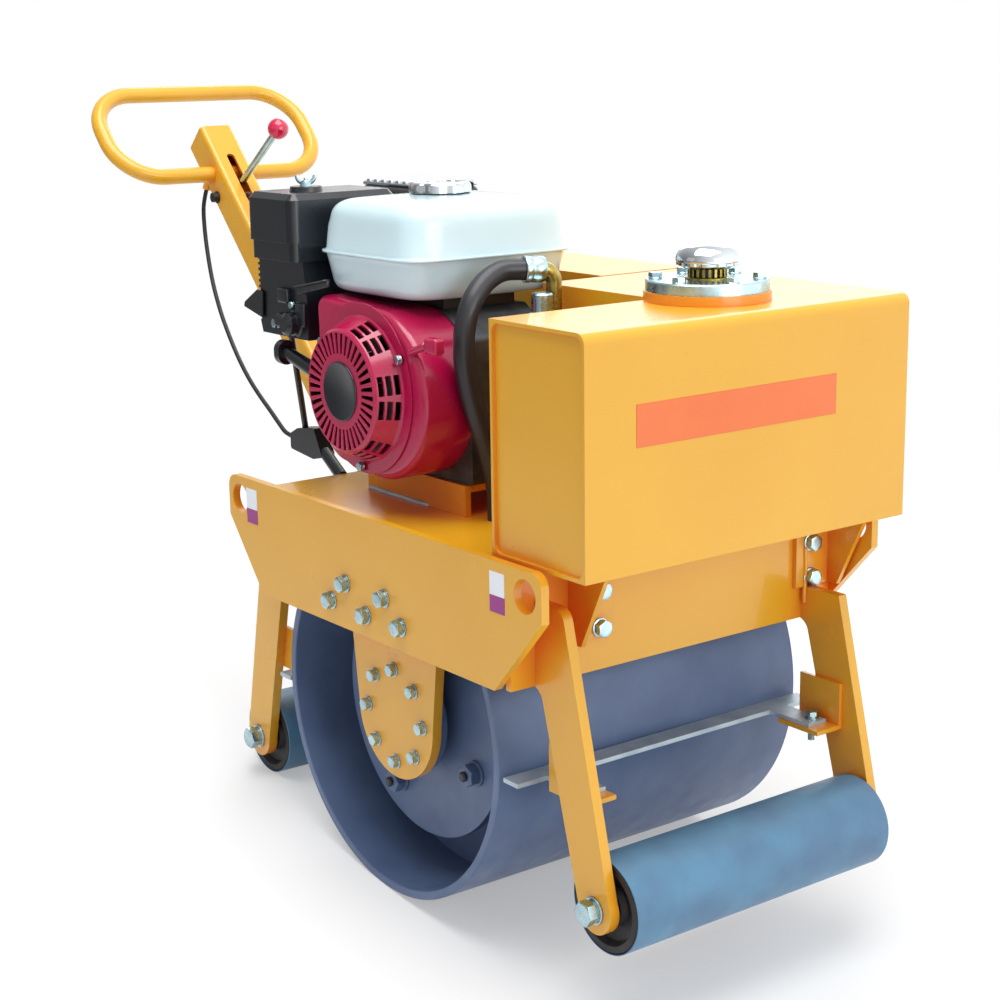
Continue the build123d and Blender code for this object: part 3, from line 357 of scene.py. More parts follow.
# ---- the parked stance ------------------------------------------------------------------
@dataclass(frozen=True)
class Stance:
    """How the level machine is carried to where it parks: turned about the drum's axis."""

    drum_x: float
    drum_z: float
    lean: float

    @classmethod
    def from_frame(cls, frame: dict[str, Any]) -> "Stance":
        """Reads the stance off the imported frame.


        Returns:
            The stance: the drum's joint gives its place, and the lifting eyes, which lie level
            on the level machine, give its lean.
        """
        mounts = {m["name"]: m["pos_m"] for m in frame["record"]["mounts"]}
        front, rear = mounts["front_lifting_eye_right"], mounts["rear_lifting_eye_right"]
        drum = next(j for j in frame["joints"] if j["name"] == "drum_spin")["pos_m"]
        return cls(drum[0], drum[2], math.atan2(front[2] - rear[2], front[0] - rear[0]))

    def turned(self, vectors: np.ndarray) -> np.ndarray:
        """Directions of the level machine, turned as it leans, about the axis Y.

        Args:
            vectors: The directions, the last axis being x, y, z.

        Returns:
            The turned directions.
        """
        x, y, z = vectors[..., 0], vectors[..., 1], vectors[..., 2]
        c, s = math.cos(self.lean), math.sin(self.lean)
        return np.stack([x * c - z * s, y, x * s + z * c], axis=-1)

    def place(self, points_mm: Any) -> np.ndarray:
        """Level millimetres to parked metres.

        Args:
            points_mm: Points on the level machine, the last axis being x, y, z.

        Returns:
            The same points on the parked machine.
        """
        axis = np.array([0.0, 0.0, self.drum_z])
        moved = self.turned(np.asarray(points_mm, float) * MM - axis)
        return moved + np.array([self.drum_x, 0.0, self.drum_z])


# ---- surfaces ---------------------------------------------------------------------------
@dataclass(frozen=True)
class Surface:
    """Points in level millimetres and blocks of faces that index them."""

    points: np.ndarray
    faces: tuple[np.ndarray, ...]

    @staticmethod
    def joined(surfaces: Iterable["Surface"]) -> "Surface":
        """Several surfaces as one.

        Args:
            surfaces: The surfaces.

        Returns:
            One surface that holds them all.
        """
        parts = list(surfaces)
        starts = np.cumsum([0] + [len(part.points) for part in parts[:-1]])
        blocks = [block + start for part, start in zip(parts, starts) for block in part.faces]
        return Surface(np.concatenate([part.points for part in parts]), tuple(blocks))

    def mirrored(self) -> "Surface":
        """The surface's copy on the machine's other side."""
        return Surface(self.points * (1, -1, 1), tuple(block[:, ::-1] for block in self.faces))


def grid(points: np.ndarray, closed_rows: bool = False) -> Surface:
    """Joins a grid of points, whose last column meets its first, into faces.

    Args:
        points: Rows by columns by 3.
        closed_rows: The last row meets the first too, where otherwise both are filled.

    Returns:
        The closed surface: a four-sided face between each four neighbours, with its caps.
    """
    rows, columns = points.shape[:2]
    here = np.arange(rows * columns).reshape(rows, columns)
    down = np.roll(here, -1, 0)
    caps = () if closed_rows else (here[:1, ::-1], here[-1:])
    if not closed_rows:
        here, down = here[:-1], down[:-1]
    quads = np.stack([here, np.roll(here, -1, 1), np.roll(down, -1, 1), down], axis=-1)
    return Surface(points.reshape(-1, 3), (quads.reshape(-1, 4), *caps))


def round_angles(count: int) -> np.ndarray:
    """Angles all the way round, evenly spaced, without the last one that closes the round."""
    return np.linspace(0, 2 * np.pi, count, endpoint=False)


def unit(vector: Point) -> np.ndarray:
    """The vector at a length of 1."""
    return np.asarray(vector, float) / np.linalg.norm(vector)


def ring(axis: Point, angles: np.ndarray) -> tuple[np.ndarray, np.ndarray]:
    """Directions across an axis at each angle a, cos(a)*u + sin(a)*v, u and v lying across it.

    Args:
        axis: The axis.
        angles: The angles.

    Returns:
        The directions, and the axis at a length of 1.
    """
    along = unit(axis)
    steep = abs(along[2]) >= 0.9  # too near upright to be crossed with it
    across = unit(np.cross(FORWARDS if steep else UP, along))
    up = np.cross(along, across)
    return np.outer(np.cos(angles), across) + np.outer(np.sin(angles), up), along


def turned(
    profile: Sequence[Pair],
    at: Point,
    axis: Point,
    segments: int = 40,
    swell: Optional[np.ndarray] = None,
    hollow: bool = False,
) -> Surface:
    """A turned form: the profile's radius r and height h swept through the angle a, so that a
    point is at + r*swell(a)*(cos a, sin a) across the axis + h along it.

    Args:
        profile: Radius and height of each row, in order.
        at: Where the axis starts.
        axis: Its direction.
        segments: Points round the axis.
        swell: A factor on the radius for each of those points, 1 if left out.
        hollow: The last row joins the first, which makes a ring.

    Returns:
        The closed surface.
    """
    ways, along = ring(axis, round_angles(segments))
    if swell is not None:
        ways = ways * swell[:, None]
    rows = np.asarray(profile, float)
    points = np.asarray(at, float) + rows[:, :1, None] * ways + rows[:, 1:, None] * along
    return grid(points, closed_rows=hollow)


def hexagon(flats: float, height: float, at: Point, axis: Point, turn: float = 0.0) -> Surface:
    """A hexagon head: at the angle a its side stands (flats/2)/cos(a to the nearest flat) from
    the axis, and a cone of 30 degrees takes off its top corners.

    Args:
        flats: Width across the flats.
        height: Height of the head.
        at: Centre of its underside.
        axis: Direction of its top.
        turn: Turn about the axis, in radians.

    Returns:
        The closed surface.
    """
    angles = round_angles(36)  # six to a flat
    sector = np.pi / 3
    side = flats / 2 / np.cos((angles + sector / 2) % sector - sector / 2)
    face = flats / 2 * 0.95  # radius of the flat top, with one more ring inside it
    shoulder = height - (side - face) * math.tan(math.radians(30))
    even = np.ones_like(side)
    radius = np.stack([side, side, face * even, face * 0.6 * even])
    heights = np.stack([0 * even, shoulder, height * even, height * even])
    ways, along = ring(axis, angles + turn)
    points = np.asarray(at, float) + radius[..., None] * ways + heights[..., None] * along
    return grid(points)


def carried(path: np.ndarray, profile: np.ndarray, aside: Point, scale: np.ndarray) -> Surface:
    """A profile carried along a path: each station's section lies across the path's direction,
    its first axis as near as may be to aside.

    Args:
        path: Stations by 3.
        profile: Section points by 2, closed.
        aside: Direction of the section's first axis.
        scale: A factor on the section at each station.

    Returns:
        The closed surface.
    """
    direction = np.gradient(path, axis=0)
    direction /= np.linalg.norm(direction, axis=1, keepdims=True)
    first = np.asarray(aside, float) - direction * (direction @ np.asarray(aside, float))[:, None]
    first /= np.linalg.norm(first, axis=1, keepdims=True)
    second = np.cross(direction, first)
    section = profile[None] * scale[:, None, None]
    points = path[:, None] + section[..., :1] * first[:, None] + section[..., 1:] * second[:, None]
    return grid(points)


def round_section(radius: float, flatness: float = 1.0) -> np.ndarray:
    """A circle's points, stretched along its second axis by flatness."""
    angles = round_angles(12)
    return radius * np.stack([np.cos(angles), flatness * np.sin(angles)], axis=1)


def weld_bead(start: Point, end: Point, leg: float, aside: Point) -> Surface:
    """A fillet weld: a half-sunk round bead whose radius swells as the pool was laid,
    leg*(1 + 0.16*|sin(pi*s/beat)| + 0.06*sin(s/drift)) at the length s. It rounds off as a root at
    its ends, and wanders a quarter of its leg aside.

    Args:
        start: Where it begins.
        end: Where it stops.
        leg: Radius of the bead.
        aside: Direction of the section's first axis.

    Returns:
        The closed surface.
    """
    station, beat, drift, wander = 1.1, 4.0, 5.3, 9.0  # lengths along it, in millimetres
    first, last = np.asarray(start, float), np.asarray(end, float)
    length = float(np.linalg.norm(last - first))
    share = np.linspace(0, 1, max(8, int(length / station)))
    path = first + share[:, None] * (last - first)
    path = path + np.asarray(aside, float) * (0.25 * leg * np.sin(share * length / wander))[:, None]
    ends = np.clip(np.minimum(share, 1 - share) * length / leg, 0.05, 1) ** 0.5
    swell = 1 + 0.16 * np.abs(np.sin(np.pi * share * length / beat)) + 0.06 * np.sin(share * length / drift)
    return carried(path, round_section(leg), aside, ends * swell)


def rounded_block(centre: Point, half: Point, radius: float) -> Surface:
    """A block with round edges: a sphere's point r*d at each angle, pushed out to the corner of
    the block's core by the signs of d.

    Args:
        centre: Its middle.
        half: Half its size each way.
        radius: Radius of its edges.

    Returns:
        The closed surface.
    """
    steps = 5  # points in each quarter turn
    quarter = np.linspace(0, np.pi / 2, steps)
    turn = np.concatenate([quarter + k * np.pi / 2 for k in range(4)])
    rise = np.concatenate([quarter - np.pi / 2, quarter])
    level = np.ones_like(turn)
    sphere = (
        np.outer(np.cos(rise), np.cos(turn)),
        np.outer(np.cos(rise), np.sin(turn)),
        np.outer(np.sin(rise), level),
    )
    signs = (
        np.outer(np.ones_like(rise), np.repeat([1, -1, -1, 1], steps)),
        np.outer(np.ones_like(rise), np.repeat([1, 1, -1, -1], steps)),
        np.outer(np.repeat([-1, 1], steps), level),
    )
    core = (np.asarray(half, float) - radius) * np.stack(signs, axis=-1)
    return grid(np.asarray(centre, float) + radius * np.stack(sphere, axis=-1) + core)


def rounded_rows(
    centre: Point, half: Point, rows: Sequence[Triple], squareness: float, segments: int
) -> Surface:
    """A pressed shell: each row is a superellipse whose point at the angle a stands
    (|cos a / A|^n + |sin a / B|^n)^(-1/n) from the axis, A and B being the half sizes less the
    row's inset.

    Args:
        centre: The axis and the level that the rows' heights count from.
        half: Half the size along X and along Y.
        rows: Height, inset and a factor on the squareness n of each row.
        squareness: The exponent n.
        segments: Points round the axis.

    Returns:
        The closed surface.
    """
    table = np.asarray(rows, float)
    cos, sin = np.cos(round_angles(segments)), np.sin(round_angles(segments))
    long_half = (half[0] - table[:, 1])[:, None]
    wide_half = (half[1] - table[:, 1])[:, None]
    power = (squareness * table[:, 2])[:, None]
    reach = (np.abs(cos / long_half) ** power + np.abs(sin / wide_half) ** power) ** (-1 / power)
    height = np.broadcast_to(table[:, :1], reach.shape)
    points = np.stack([reach * cos, reach * sin, height], axis=-1) + np.asarray(centre, float)
    return grid(points)


def arc_rows(start: Pair, corner: Pair, end: Pair, steps: int = 7) -> list[Pair]:
    """A quarter round between two points of a profile: (1-t)^2*start + 2t(1-t)*corner + t^2*end.

    Args:
        start: Its first point.
        corner: The sharp corner that it rounds.
        end: Its last point.
        steps: How many points it gets.

    Returns:
        The points.
    """
    share = np.linspace(0, 1, steps)[:, None]
    points = (1 - share) ** 2 * start + 2 * share * (1 - share) * corner + share**2 * end
    return [(float(first), float(second)) for first, second in points]


def straight_rod(start: Point, end: Point, radius: float) -> Surface:
    """A round rod with softened ends: a turned form along the line between two points.

    Args:
        start: The middle of one end.
        end: The middle of the other.
        radius: Its radius.

    Returns:
        The closed surface.
    """
    run = np.asarray(end, float) - np.asarray(start, float)
    length, ease = float(np.linalg.norm(run)), radius * 0.3
    rows = [
        (0.0, 0.0), (radius - ease, 0.0), (radius, ease),
        (radius, length - ease), (radius - ease, length), (0.0, length),
    ]
    return turned(rows, start, run, 20)


def ball(centre: Point, radius: float) -> Surface:
    """A ball: radius*sin(b) off its axis and -radius*cos(b) along it, b from 0 to half a turn."""
    rise = np.linspace(0, np.pi, 25)
    return turned(np.stack([radius * np.sin(rise), -radius * np.cos(rise)], axis=1), centre, UP)


def slab(outline: Sequence[Point], thickness: Point) -> Surface:
    """A flat plate: a closed outline of points and its copy, offset by the thickness vector."""
    face = np.asarray(outline, float)
    return grid(np.stack([face, face + np.asarray(thickness, float)]))


def on_circle(centre: Pair, radius: float, angles: Iterable[float]) -> list[Pair]:
    """Points round a circle, centre + radius*(cos a, sin a)."""
    return [(centre[0] + radius * math.cos(a), centre[1] + radius * math.sin(a)) for a in angles]


def upright(pairs: Iterable[Pair], y: float) -> list[Triple]:
    """Places given by x and z, on the plane at y."""
    return [(x, y, z) for x, z in pairs]


# ---- pieces -----------------------------------------------------------------------------
SAME_POINT = 1e-6  # metres within which two points are one


def link(thing: bpy.types.Object) -> None:
    """Puts an object into the scene."""
    bpy.context.scene.collection.objects.link(thing)


@dataclass
class Workshop:
    """Turns surfaces into finished pieces of the machine."""

    frame: dict[str, Any]
    stance: Stance
    materials: dict[str, bpy.types.Material] = field(default_factory=dict)

    def material(self, finish: Finish) -> bpy.types.Material:
        """The finish's material, made once."""
        if finish.name not in self.materials:
            self.materials[finish.name] = finish.build()
        return self.materials[finish.name]

    def piece(
        self,
        name: str,
        surfaces: Surface | Iterable[Surface],
        finish: Finish,
        body: Body = Body.FRAME,
        slot: str = "",
        replaces: Sequence[str] = (),
        smooth_deg: float = 35.0,
        bevel_mm: float = 0.0,
        paired: bool = False,
    ) -> None:
        """Makes a piece that rides on a body.

        Args:
            name: Its name.
            surfaces: Its surfaces.
            finish: Its finish.
            body: The body it moves with.
            slot: The record's material slot, the finish's own if left out.
            replaces: Construction nodes it stands for.
            smooth_deg: Edges flatter than this are shaded smooth.
            bevel_mm: Width of a real bevel on its edges, none at 0.
            paired: It has a copy on the machine's other side.
        """
        surface = surfaces if isinstance(surfaces, Surface) else Surface.joined(surfaces)
        if paired:
            surface = Surface.joined((surface, surface.mirrored()))
        mesh = bpy.data.meshes.new(name)
        rows = [row for block in surface.faces for row in block.tolist()]
        mesh.from_pydata(self.stance.place(surface.points).tolist(), [], rows)
        work = bmesh.new()
        work.from_mesh(mesh)
        bmesh.ops.remove_doubles(work, verts=work.verts, dist=SAME_POINT)
        bmesh.ops.dissolve_degenerate(work, edges=work.edges, dist=SAME_POINT / 10)
        bmesh.ops.recalc_face_normals(work, faces=work.faces)
        work.to_mesh(mesh)
        work.free()
        mesh.shade_smooth()
        mesh.set_sharp_from_angle(angle=math.radians(smooth_deg))
        piece = bpy.data.objects.new(name, mesh)
        link(piece)
        mesh.materials.append(self.material(finish))
        if bevel_mm:
            bevel = piece.modifiers.new("edges", "BEVEL")
            bevel.width, bevel.segments, bevel.limit_method = bevel_mm * MM, 2, "ANGLE"
            bevel.angle_limit = math.radians(smooth_deg)
        self.finish_piece(piece, body, slot or finish.slot, replaces)

    def finish_piece(
        self, piece: bpy.types.Object, body: Body, slot: str, replaces: Sequence[str] = ()
    ) -> None:
        """Puts a piece on its body and hides the construction nodes it stands for.

        Args:
            piece: The piece's object.
            body: The body it moves with.
            slot: The record's material slot; not used.
            replaces: Construction nodes it stands for.
        """
        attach(piece, body.value)
        if replaces:
            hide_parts(*replaces)
        LOG.info("piece %s on %s", piece.name, body.value)

    def dress_node(self, node: str, finish: Finish) -> None:
        """Gives a construction node its finish in place of the one it came with.

        Args:
            node: The node's name.
            finish: Its finish.
        """
        part = self.frame["nodes"][node]
        part.data.materials.clear()
        part.data.materials.append(self.material(finish))


# ---- hardware ---------------------------------------------------------------------------
GOLDEN_TURN = 2.4  # radians between one head's turn and the next, so that no two line up
SPLIT_WASHER = 1.1  # thickness of a split washer as a share of its flat washer's
THREAD_PITCH = 1.5  # millimetres, coarse enough to show
THREAD_DEPTH = 0.45


@dataclass(frozen=True)
class BoltSize:
    """A hexagon bolt's sizes, in millimetres."""

    flats: float
    head: float
    washer: float
    washer_thick: float
    shank: float

    def proud(self) -> float:
        """How far a head stands off the plate, on its two washers."""
        return self.head + (1 + SPLIT_WASHER) * self.washer_thick

    def flat_washer(self, at: np.ndarray, axis: Point) -> Surface:
        """A flat washer with its upper edge stamped round."""
        rim, thick, edge = self.washer / 2, self.washer_thick, 0.6
        return turned([(0, 0), (rim, 0), (rim, thick * 0.8), (rim - edge, thick), (0, thick)], at, axis)

    def under_head(self, at: Point, axis: Point, turn: float = 0.0) -> Surface:
        """A head on its spring washer and flat washer.

        Args:
            at: Where the flat washer meets the plate.
            axis: Direction of the head.
            turn: Turn of the head, in radians.

        Returns:
            The three as one surface.
        """
        base, way, thick = np.asarray(at, float), unit(axis), self.washer_thick
        spring, height = self.washer / 2 * 0.8, thick * SPLIT_WASHER  # narrower than the flat one
        rows = [(0, 0), (spring, 0), (spring, height), (0, height)]
        split_washer = turned(rows, base + way * thick, axis)
        head = hexagon(self.flats, self.head, base + way * (self.proud() - self.head), axis, turn)
        return Surface.joined((self.flat_washer(base, axis), split_washer, head))

    def heads(
        self, places: Iterable[Triple], axis: Triple, first: float = 0.0, step: float = GOLDEN_TURN
    ) -> Surface:
        """Heads on their washers at several places.

        Args:
            places: Where they stand.
            axis: Direction of the heads.
            first: Turn of the first head, in radians.
            step: Turn from one head to the next.

        Returns:
            All of them as one surface.
        """
        return Surface.joined(self.under_head(at, axis, first + n * step) for n, at in enumerate(places))

    def flanged(self, at: Point, axis: Point, turn: float = 0.0) -> Surface:
        """A head whose own flange spreads under it: a cone from the flange's rim to the flats.

        Args:
            at: Where the flange meets the plate.
            axis: Direction of the head.
            turn: Turn of the head, in radians.

        Returns:
            The flange and the head as one surface.
        """
        rim, edge = self.washer / 2 * 0.88, 0.9
        waist, cone = self.flats / 2, self.washer_thick + 0.4
        rows = [(0, 0), (rim, 0), (rim, edge), (waist, cone), (0, cone)]
        foot = np.asarray(at, float) + unit(axis) * self.washer_thick
        return Surface.joined((turned(rows, at, axis), hexagon(self.flats, self.head, foot, axis, turn)))

    def nut_on_stud(self, at: Point, axis: Point, turn: float, stud: float) -> Surface:
        """A nut on its washer with a threaded end standing out of it.

        Args:
            at: Where the washer meets the plate.
            axis: Direction of the stud's end.
            turn: Turn of the nut, in radians.
            stud: How far the stud stands out of the nut.

        Returns:
            The three as one surface.
        """
        base, way, thick = np.asarray(at, float), unit(axis), self.washer_thick
        nut = hexagon(self.flats, self.head, base + way * thick, axis, turn)
        ridges = int(stud / THREAD_PITCH) * 2 + 1
        radius = self.shank / 2 - THREAD_DEPTH * (np.arange(ridges) % 2)
        thread = zip(radius.tolist(), np.linspace(0, stud, ridges).tolist())
        tip = stud + 0.8
        rows = [(0.0, 0.0), *thread, (self.shank / 2 - THREAD_PITCH, tip), (0.0, tip)]
        end = turned(rows, base + way * (thick + self.head), axis, 24)
        return Surface.joined((self.flat_washer(base, axis), nut, end))


M6 = BoltSize(flats=10.0, head=4.0, washer=12.5, washer_thick=1.6, shank=6.0)
M8 = BoltSize(flats=13.0, head=5.3, washer=17.0, washer_thick=1.6, shank=8.0)
M10 = BoltSize(flats=17.0, head=6.4, washer=21.0, washer_thick=2.0, shank=10.0)
M12 = BoltSize(flats=18.0, head=7.5, washer=24.0, washer_thick=2.5, shank=12.0)
M16 = BoltSize(flats=24.0, head=10.0, washer=30.0, washer_thick=3.0, shank=16.0)


@dataclass
class FrameHardware:
    """Bolts and welds of the frame, its hangers, legs and brackets."""

    shop: Workshop
    side_face: float = 242.0
    side_bolts: tuple[Pair, ...] = ((-45, 366), (-75, 340), (-3, 338), (35, 366), (67, 340))
    hanger_face: float = 209.0
    hanger_circle: float = 55.5
    hanger_count: int = 8
    leg_face: float = 200.0
    axle_turn: float = 0.4
    bracket_face: float = 258.0
    bracket_bolts: tuple[Pair, ...] = ((-118, 361), (-118, 402), (195, 361), (195, 402))
    scraper_top: float = 205.0
    scraper_bolts: tuple[Pair, ...] = ((292, 168), (-292, 168))
    scraper_grip: float = 10.0  # blade and bracket between a bolt's head and its nut
    scraper_nut_turn: float = 0.3
    scraper_stud: float = 9.0  # how far the bolt stands out of its nut
    patch_places: Pair = (232.0, -265.0)
    patch_levels: Triple = (397.0, 415.0, 440.0)
    patch_width: float = 25.0
    bare_weld: str = "engine_base_weld"  # laid after the paint
    # name, leg, then both ends; a pair has its copy on the other side
    weld_runs: tuple[tuple[str, float, tuple[Triple, Triple]], ...] = (
        ("engine_base_weld", 3.0, ((-162, -130.5, 441.5), (-36, -130.5, 441.5))),
        ("drawbar_bracket_weld_pair", 2.6, ((-252, -36, 441), (-172, -36, 441))),
        ("leg_weld_front_pair", 2.2, ((258.5, -187.0, 330), (258.5, -187.0, 398))),
        ("deck_weld_pair", 2.2, ((-240, -231, 442), (208, -231, 442))),
        ("guard_weld", 2.0, ((-236, 84.5, 442), (12, 84.5, 442))),
    )

    def build(self) -> None:
        """Makes the frame's fasteners, welds and films."""
        side = M10.heads(upright(self.side_bolts, -self.side_face), RIGHT)
        circle = on_circle(DRUM_AXIS, self.hanger_circle, round_angles(self.hanger_count))
        hanger = M8.heads(upright(circle, -self.hanger_face), RIGHT)
        axle = M16.heads(upright(ROLLER_AXLES.values(), -self.leg_face), RIGHT, self.axle_turn, 0.0)
        bracket = M10.heads([(self.bracket_face, y, z) for y, z in self.bracket_bolts], FORWARDS)
        heads = M8.heads([(x, y, self.scraper_top) for x, y in self.scraper_bolts], UP)
        under = self.scraper_top - self.scraper_grip
        nuts = [
            M8.nut_on_stud((x, y, under), DOWN, self.scraper_nut_turn, self.scraper_stud)
            for x, y in self.scraper_bolts
        ]
        self.shop.piece("side_plate_bolts", side, ZINC, paired=True)
        self.shop.piece("hanger_bolts", hanger, ZINC, paired=True)
        self.shop.piece("axle_bolts", axle, ZINC, paired=True)
        self.shop.piece("tank_bracket_bolts", bracket, ZINC)
        self.shop.piece("scraper_bolts", [heads, *nuts], ZINC, paired=True)
        self.welds()
        self.patches()

    def welds(self) -> None:
        """Lays the fillet welds that show on the frame."""
        for name, leg, (start, end) in self.weld_runs:
            finish = GALVANISED if name == self.bare_weld else YELLOW_ENAMEL
            bead = weld_bead(start, end, leg, ACROSS)
            self.shop.piece(name, bead, finish, paired=name.endswith("pair"))

    def patches(self) -> None:
        """Lays two-coloured films, blank, at the ends of the side plates."""
        low, seam, high = self.patch_levels
        for name, bottom, top, finish in (
            ("purple_side_films", low, seam, PURPLE_FILM),
            ("white_side_films", seam, high, WHITE_FILM),
        ):
            sheets = []
            for x in self.patch_places:
                end = x + self.patch_width
                outline = upright([(x, bottom), (end, bottom), (end, top), (x, top)], -self.side_face)
                sheets.append(slab(outline, (0, -FILM_THICK, 0)))
            self.shop.piece(name, sheets, finish, paired=True)


@dataclass
class DrumHardware:
    """Nuts of the rubber buffers on the drum's hub plates."""

    shop: Workshop
    plate_face: float = 169.0
    circle: float = 113.0
    angles_deg: tuple[float, ...] = (-116.0, -26.0, 64.0, 154.0)
    nut_turn: float = 0.5  # radians, over the angle it stands at
    stud: float = 5.0  # how far a stud stands out of its nut

    def build(self) -> None:
        """Makes the nuts, painted with the drum, and the ends of their studs in black, which gives each nut
        a dark centre.
        """
        nuts, studs = [], []
        angles = np.radians(self.angles_deg).tolist()
        top = self.plate_face + M16.proud()
        for turn, (x, z) in zip(angles, on_circle(DRUM_AXIS, self.circle, angles)):
            nuts.append(M16.under_head((x, -self.plate_face, z), RIGHT, self.nut_turn + turn))
            studs.append(straight_rod((x, -top, z), (x, -top - self.stud, z), M12.shank / 2))
        self.shop.piece("buffer_nuts", nuts, GREY_ENAMEL, Body.DRUM, paired=True)
        self.shop.piece("buffer_studs", studs, BLACK_ENAMEL, Body.DRUM, "zinc", paired=True)


@dataclass
class RollerRims:
    """The rollers' sleeves, drawn out over the edges of their end caps."""

    shop: Workshop
    outer: float = 52.0
    inner: float = 50.9
    half_sleeve: float = 172.6
    reach: float = 12.2
    chamfer: float = 0.5

    def build(self) -> None:
        """Makes a thin ring at both ends of each roller."""
        rows = [
            (self.inner, 0.0), (self.outer, 0.0), (self.outer, self.reach - self.chamfer),
            (self.outer - self.chamfer, self.reach), (self.inner, self.reach),
        ]
        for body, (x, z) in ROLLER_AXLES.items():
            rim = turned(rows, (x, -self.half_sleeve, z), RIGHT, 96, hollow=True)
            self.shop.piece(f"{body.value}_rims", rim, ROLLER_ENAMEL, body, paired=True)


@dataclass
class TankDress:
    """The water tank's filler with its cap, its plain film and its edge weld."""

    shop: Workshop
    front: float = 366.0
    film_low: Pair = (-161.0, 576.0)
    film_size: Pair = (277.0, 43.0)
    weld_low: Triple = (217.0, -221.0, 461.0)
    weld_high: Triple = (217.0, -221.0, 682.0)
    weld_leg: float = 2.6
    filler: Triple = (256.0, 33.0, 716.0)  # the middle of its flange's top
    flange_circle: float = 55.0
    flange_bolts: int = 6
    cap_radius: float = 34.0
    neck: Profile = ((0, 0), (18, 0), (18, 13), (0, 13))
    foot: Profile = ((0, 0), (25, 0), (25, 2), (23, 3), (0, 3))
    rib_count: int = 20
    rib_radii: Pair = (17.0, 21.0)
    rib_half: float = 0.07  # half a rib's width, in radians
    rib_height: float = 12.0
    skirt: Profile = ((0, 11), (22, 11), (29, 12), (33, 15), (33.5, 20), (32, 21.5), (0, 21.5))
    flute_count: int = 12
    flute_depth: float = 0.05  # as a share of the radius
    dome_foot: Profile = ((0.0, 17.5), (32.0, 17.5), (33.7, 18.5))
    dome_level: float = 20.0
    dome_rise: float = 18.5

    def build(self) -> None:
        """Makes the tank's small pieces."""
        self.cap()
        x, y, z = self.filler
        angles = np.pi / 4 + round_angles(self.flange_bolts)
        bolts = [
            M8.flanged((*place, z), UP, n * GOLDEN_TURN)
            for n, place in enumerate(on_circle((x, y), self.flange_circle, angles))
        ]
        self.shop.piece("filler_flange_bolts", bolts, ZINC)
        y, z = self.film_low
        far_y, far_z = y + self.film_size[0], z + self.film_size[1]
        outline = [(self.front, *corner) for corner in ((y, z), (far_y, z), (far_y, far_z), (y, far_z))]
        self.shop.piece("tank_film", slab(outline, (FILM_THICK, 0, 0)), ORANGE_FILM)
        bead = weld_bead(self.weld_low, self.weld_high, self.weld_leg, ACROSS)
        self.shop.piece("tank_weld", bead, YELLOW_ENAMEL)

    def cap(self) -> None:
        """Makes the filler's breather cap: a ribbed neck, a fluted skirt and a domed top, whose
        radius is rim*cos(b)^0.8 at the height dome_rise*sin(b)."""
        at = self.filler
        x, y, z = at
        # the neck is black so that the slots between the ribs show dark: painted shade for the opening
        # inside the cap
        self.shop.piece("cap_neck", turned(self.neck, at, UP, 48), BLACK_ENAMEL, slot="chrome")
        inside, outside = self.rib_radii
        ribs = []
        for angle in round_angles(self.rib_count).tolist():
            before, after = angle - self.rib_half, angle + self.rib_half
            corners = [
                *on_circle((x, y), inside, (before,)), *on_circle((x, y), outside, (before, after)),
                *on_circle((x, y), inside, (after,)),
            ]
            ribs.append(slab([(*corner, z) for corner in corners], (0, 0, self.rib_height)))
        self.shop.piece("cap_ribs", [turned(self.foot, at, UP, 48), *ribs], YELLOW_ZINC)
        segments = 144
        waves = np.clip(np.cos(self.flute_count * round_angles(segments)), 0, 1) ** 0.5
        skirt = turned(self.skirt, at, UP, segments, 1 - self.flute_depth * waves)
        rise = np.linspace(0, np.pi / 2, 20)
        radius = self.cap_radius * np.cos(rise) ** 0.8
        height = self.dome_level + self.dome_rise * np.sin(rise)
        dome = turned([*self.dome_foot, *zip(radius.tolist(), height.tolist())], at, UP, 64)
        self.shop.piece("breather_cap_shell", [skirt, dome], CHROME, replaces=("breather_cap",))


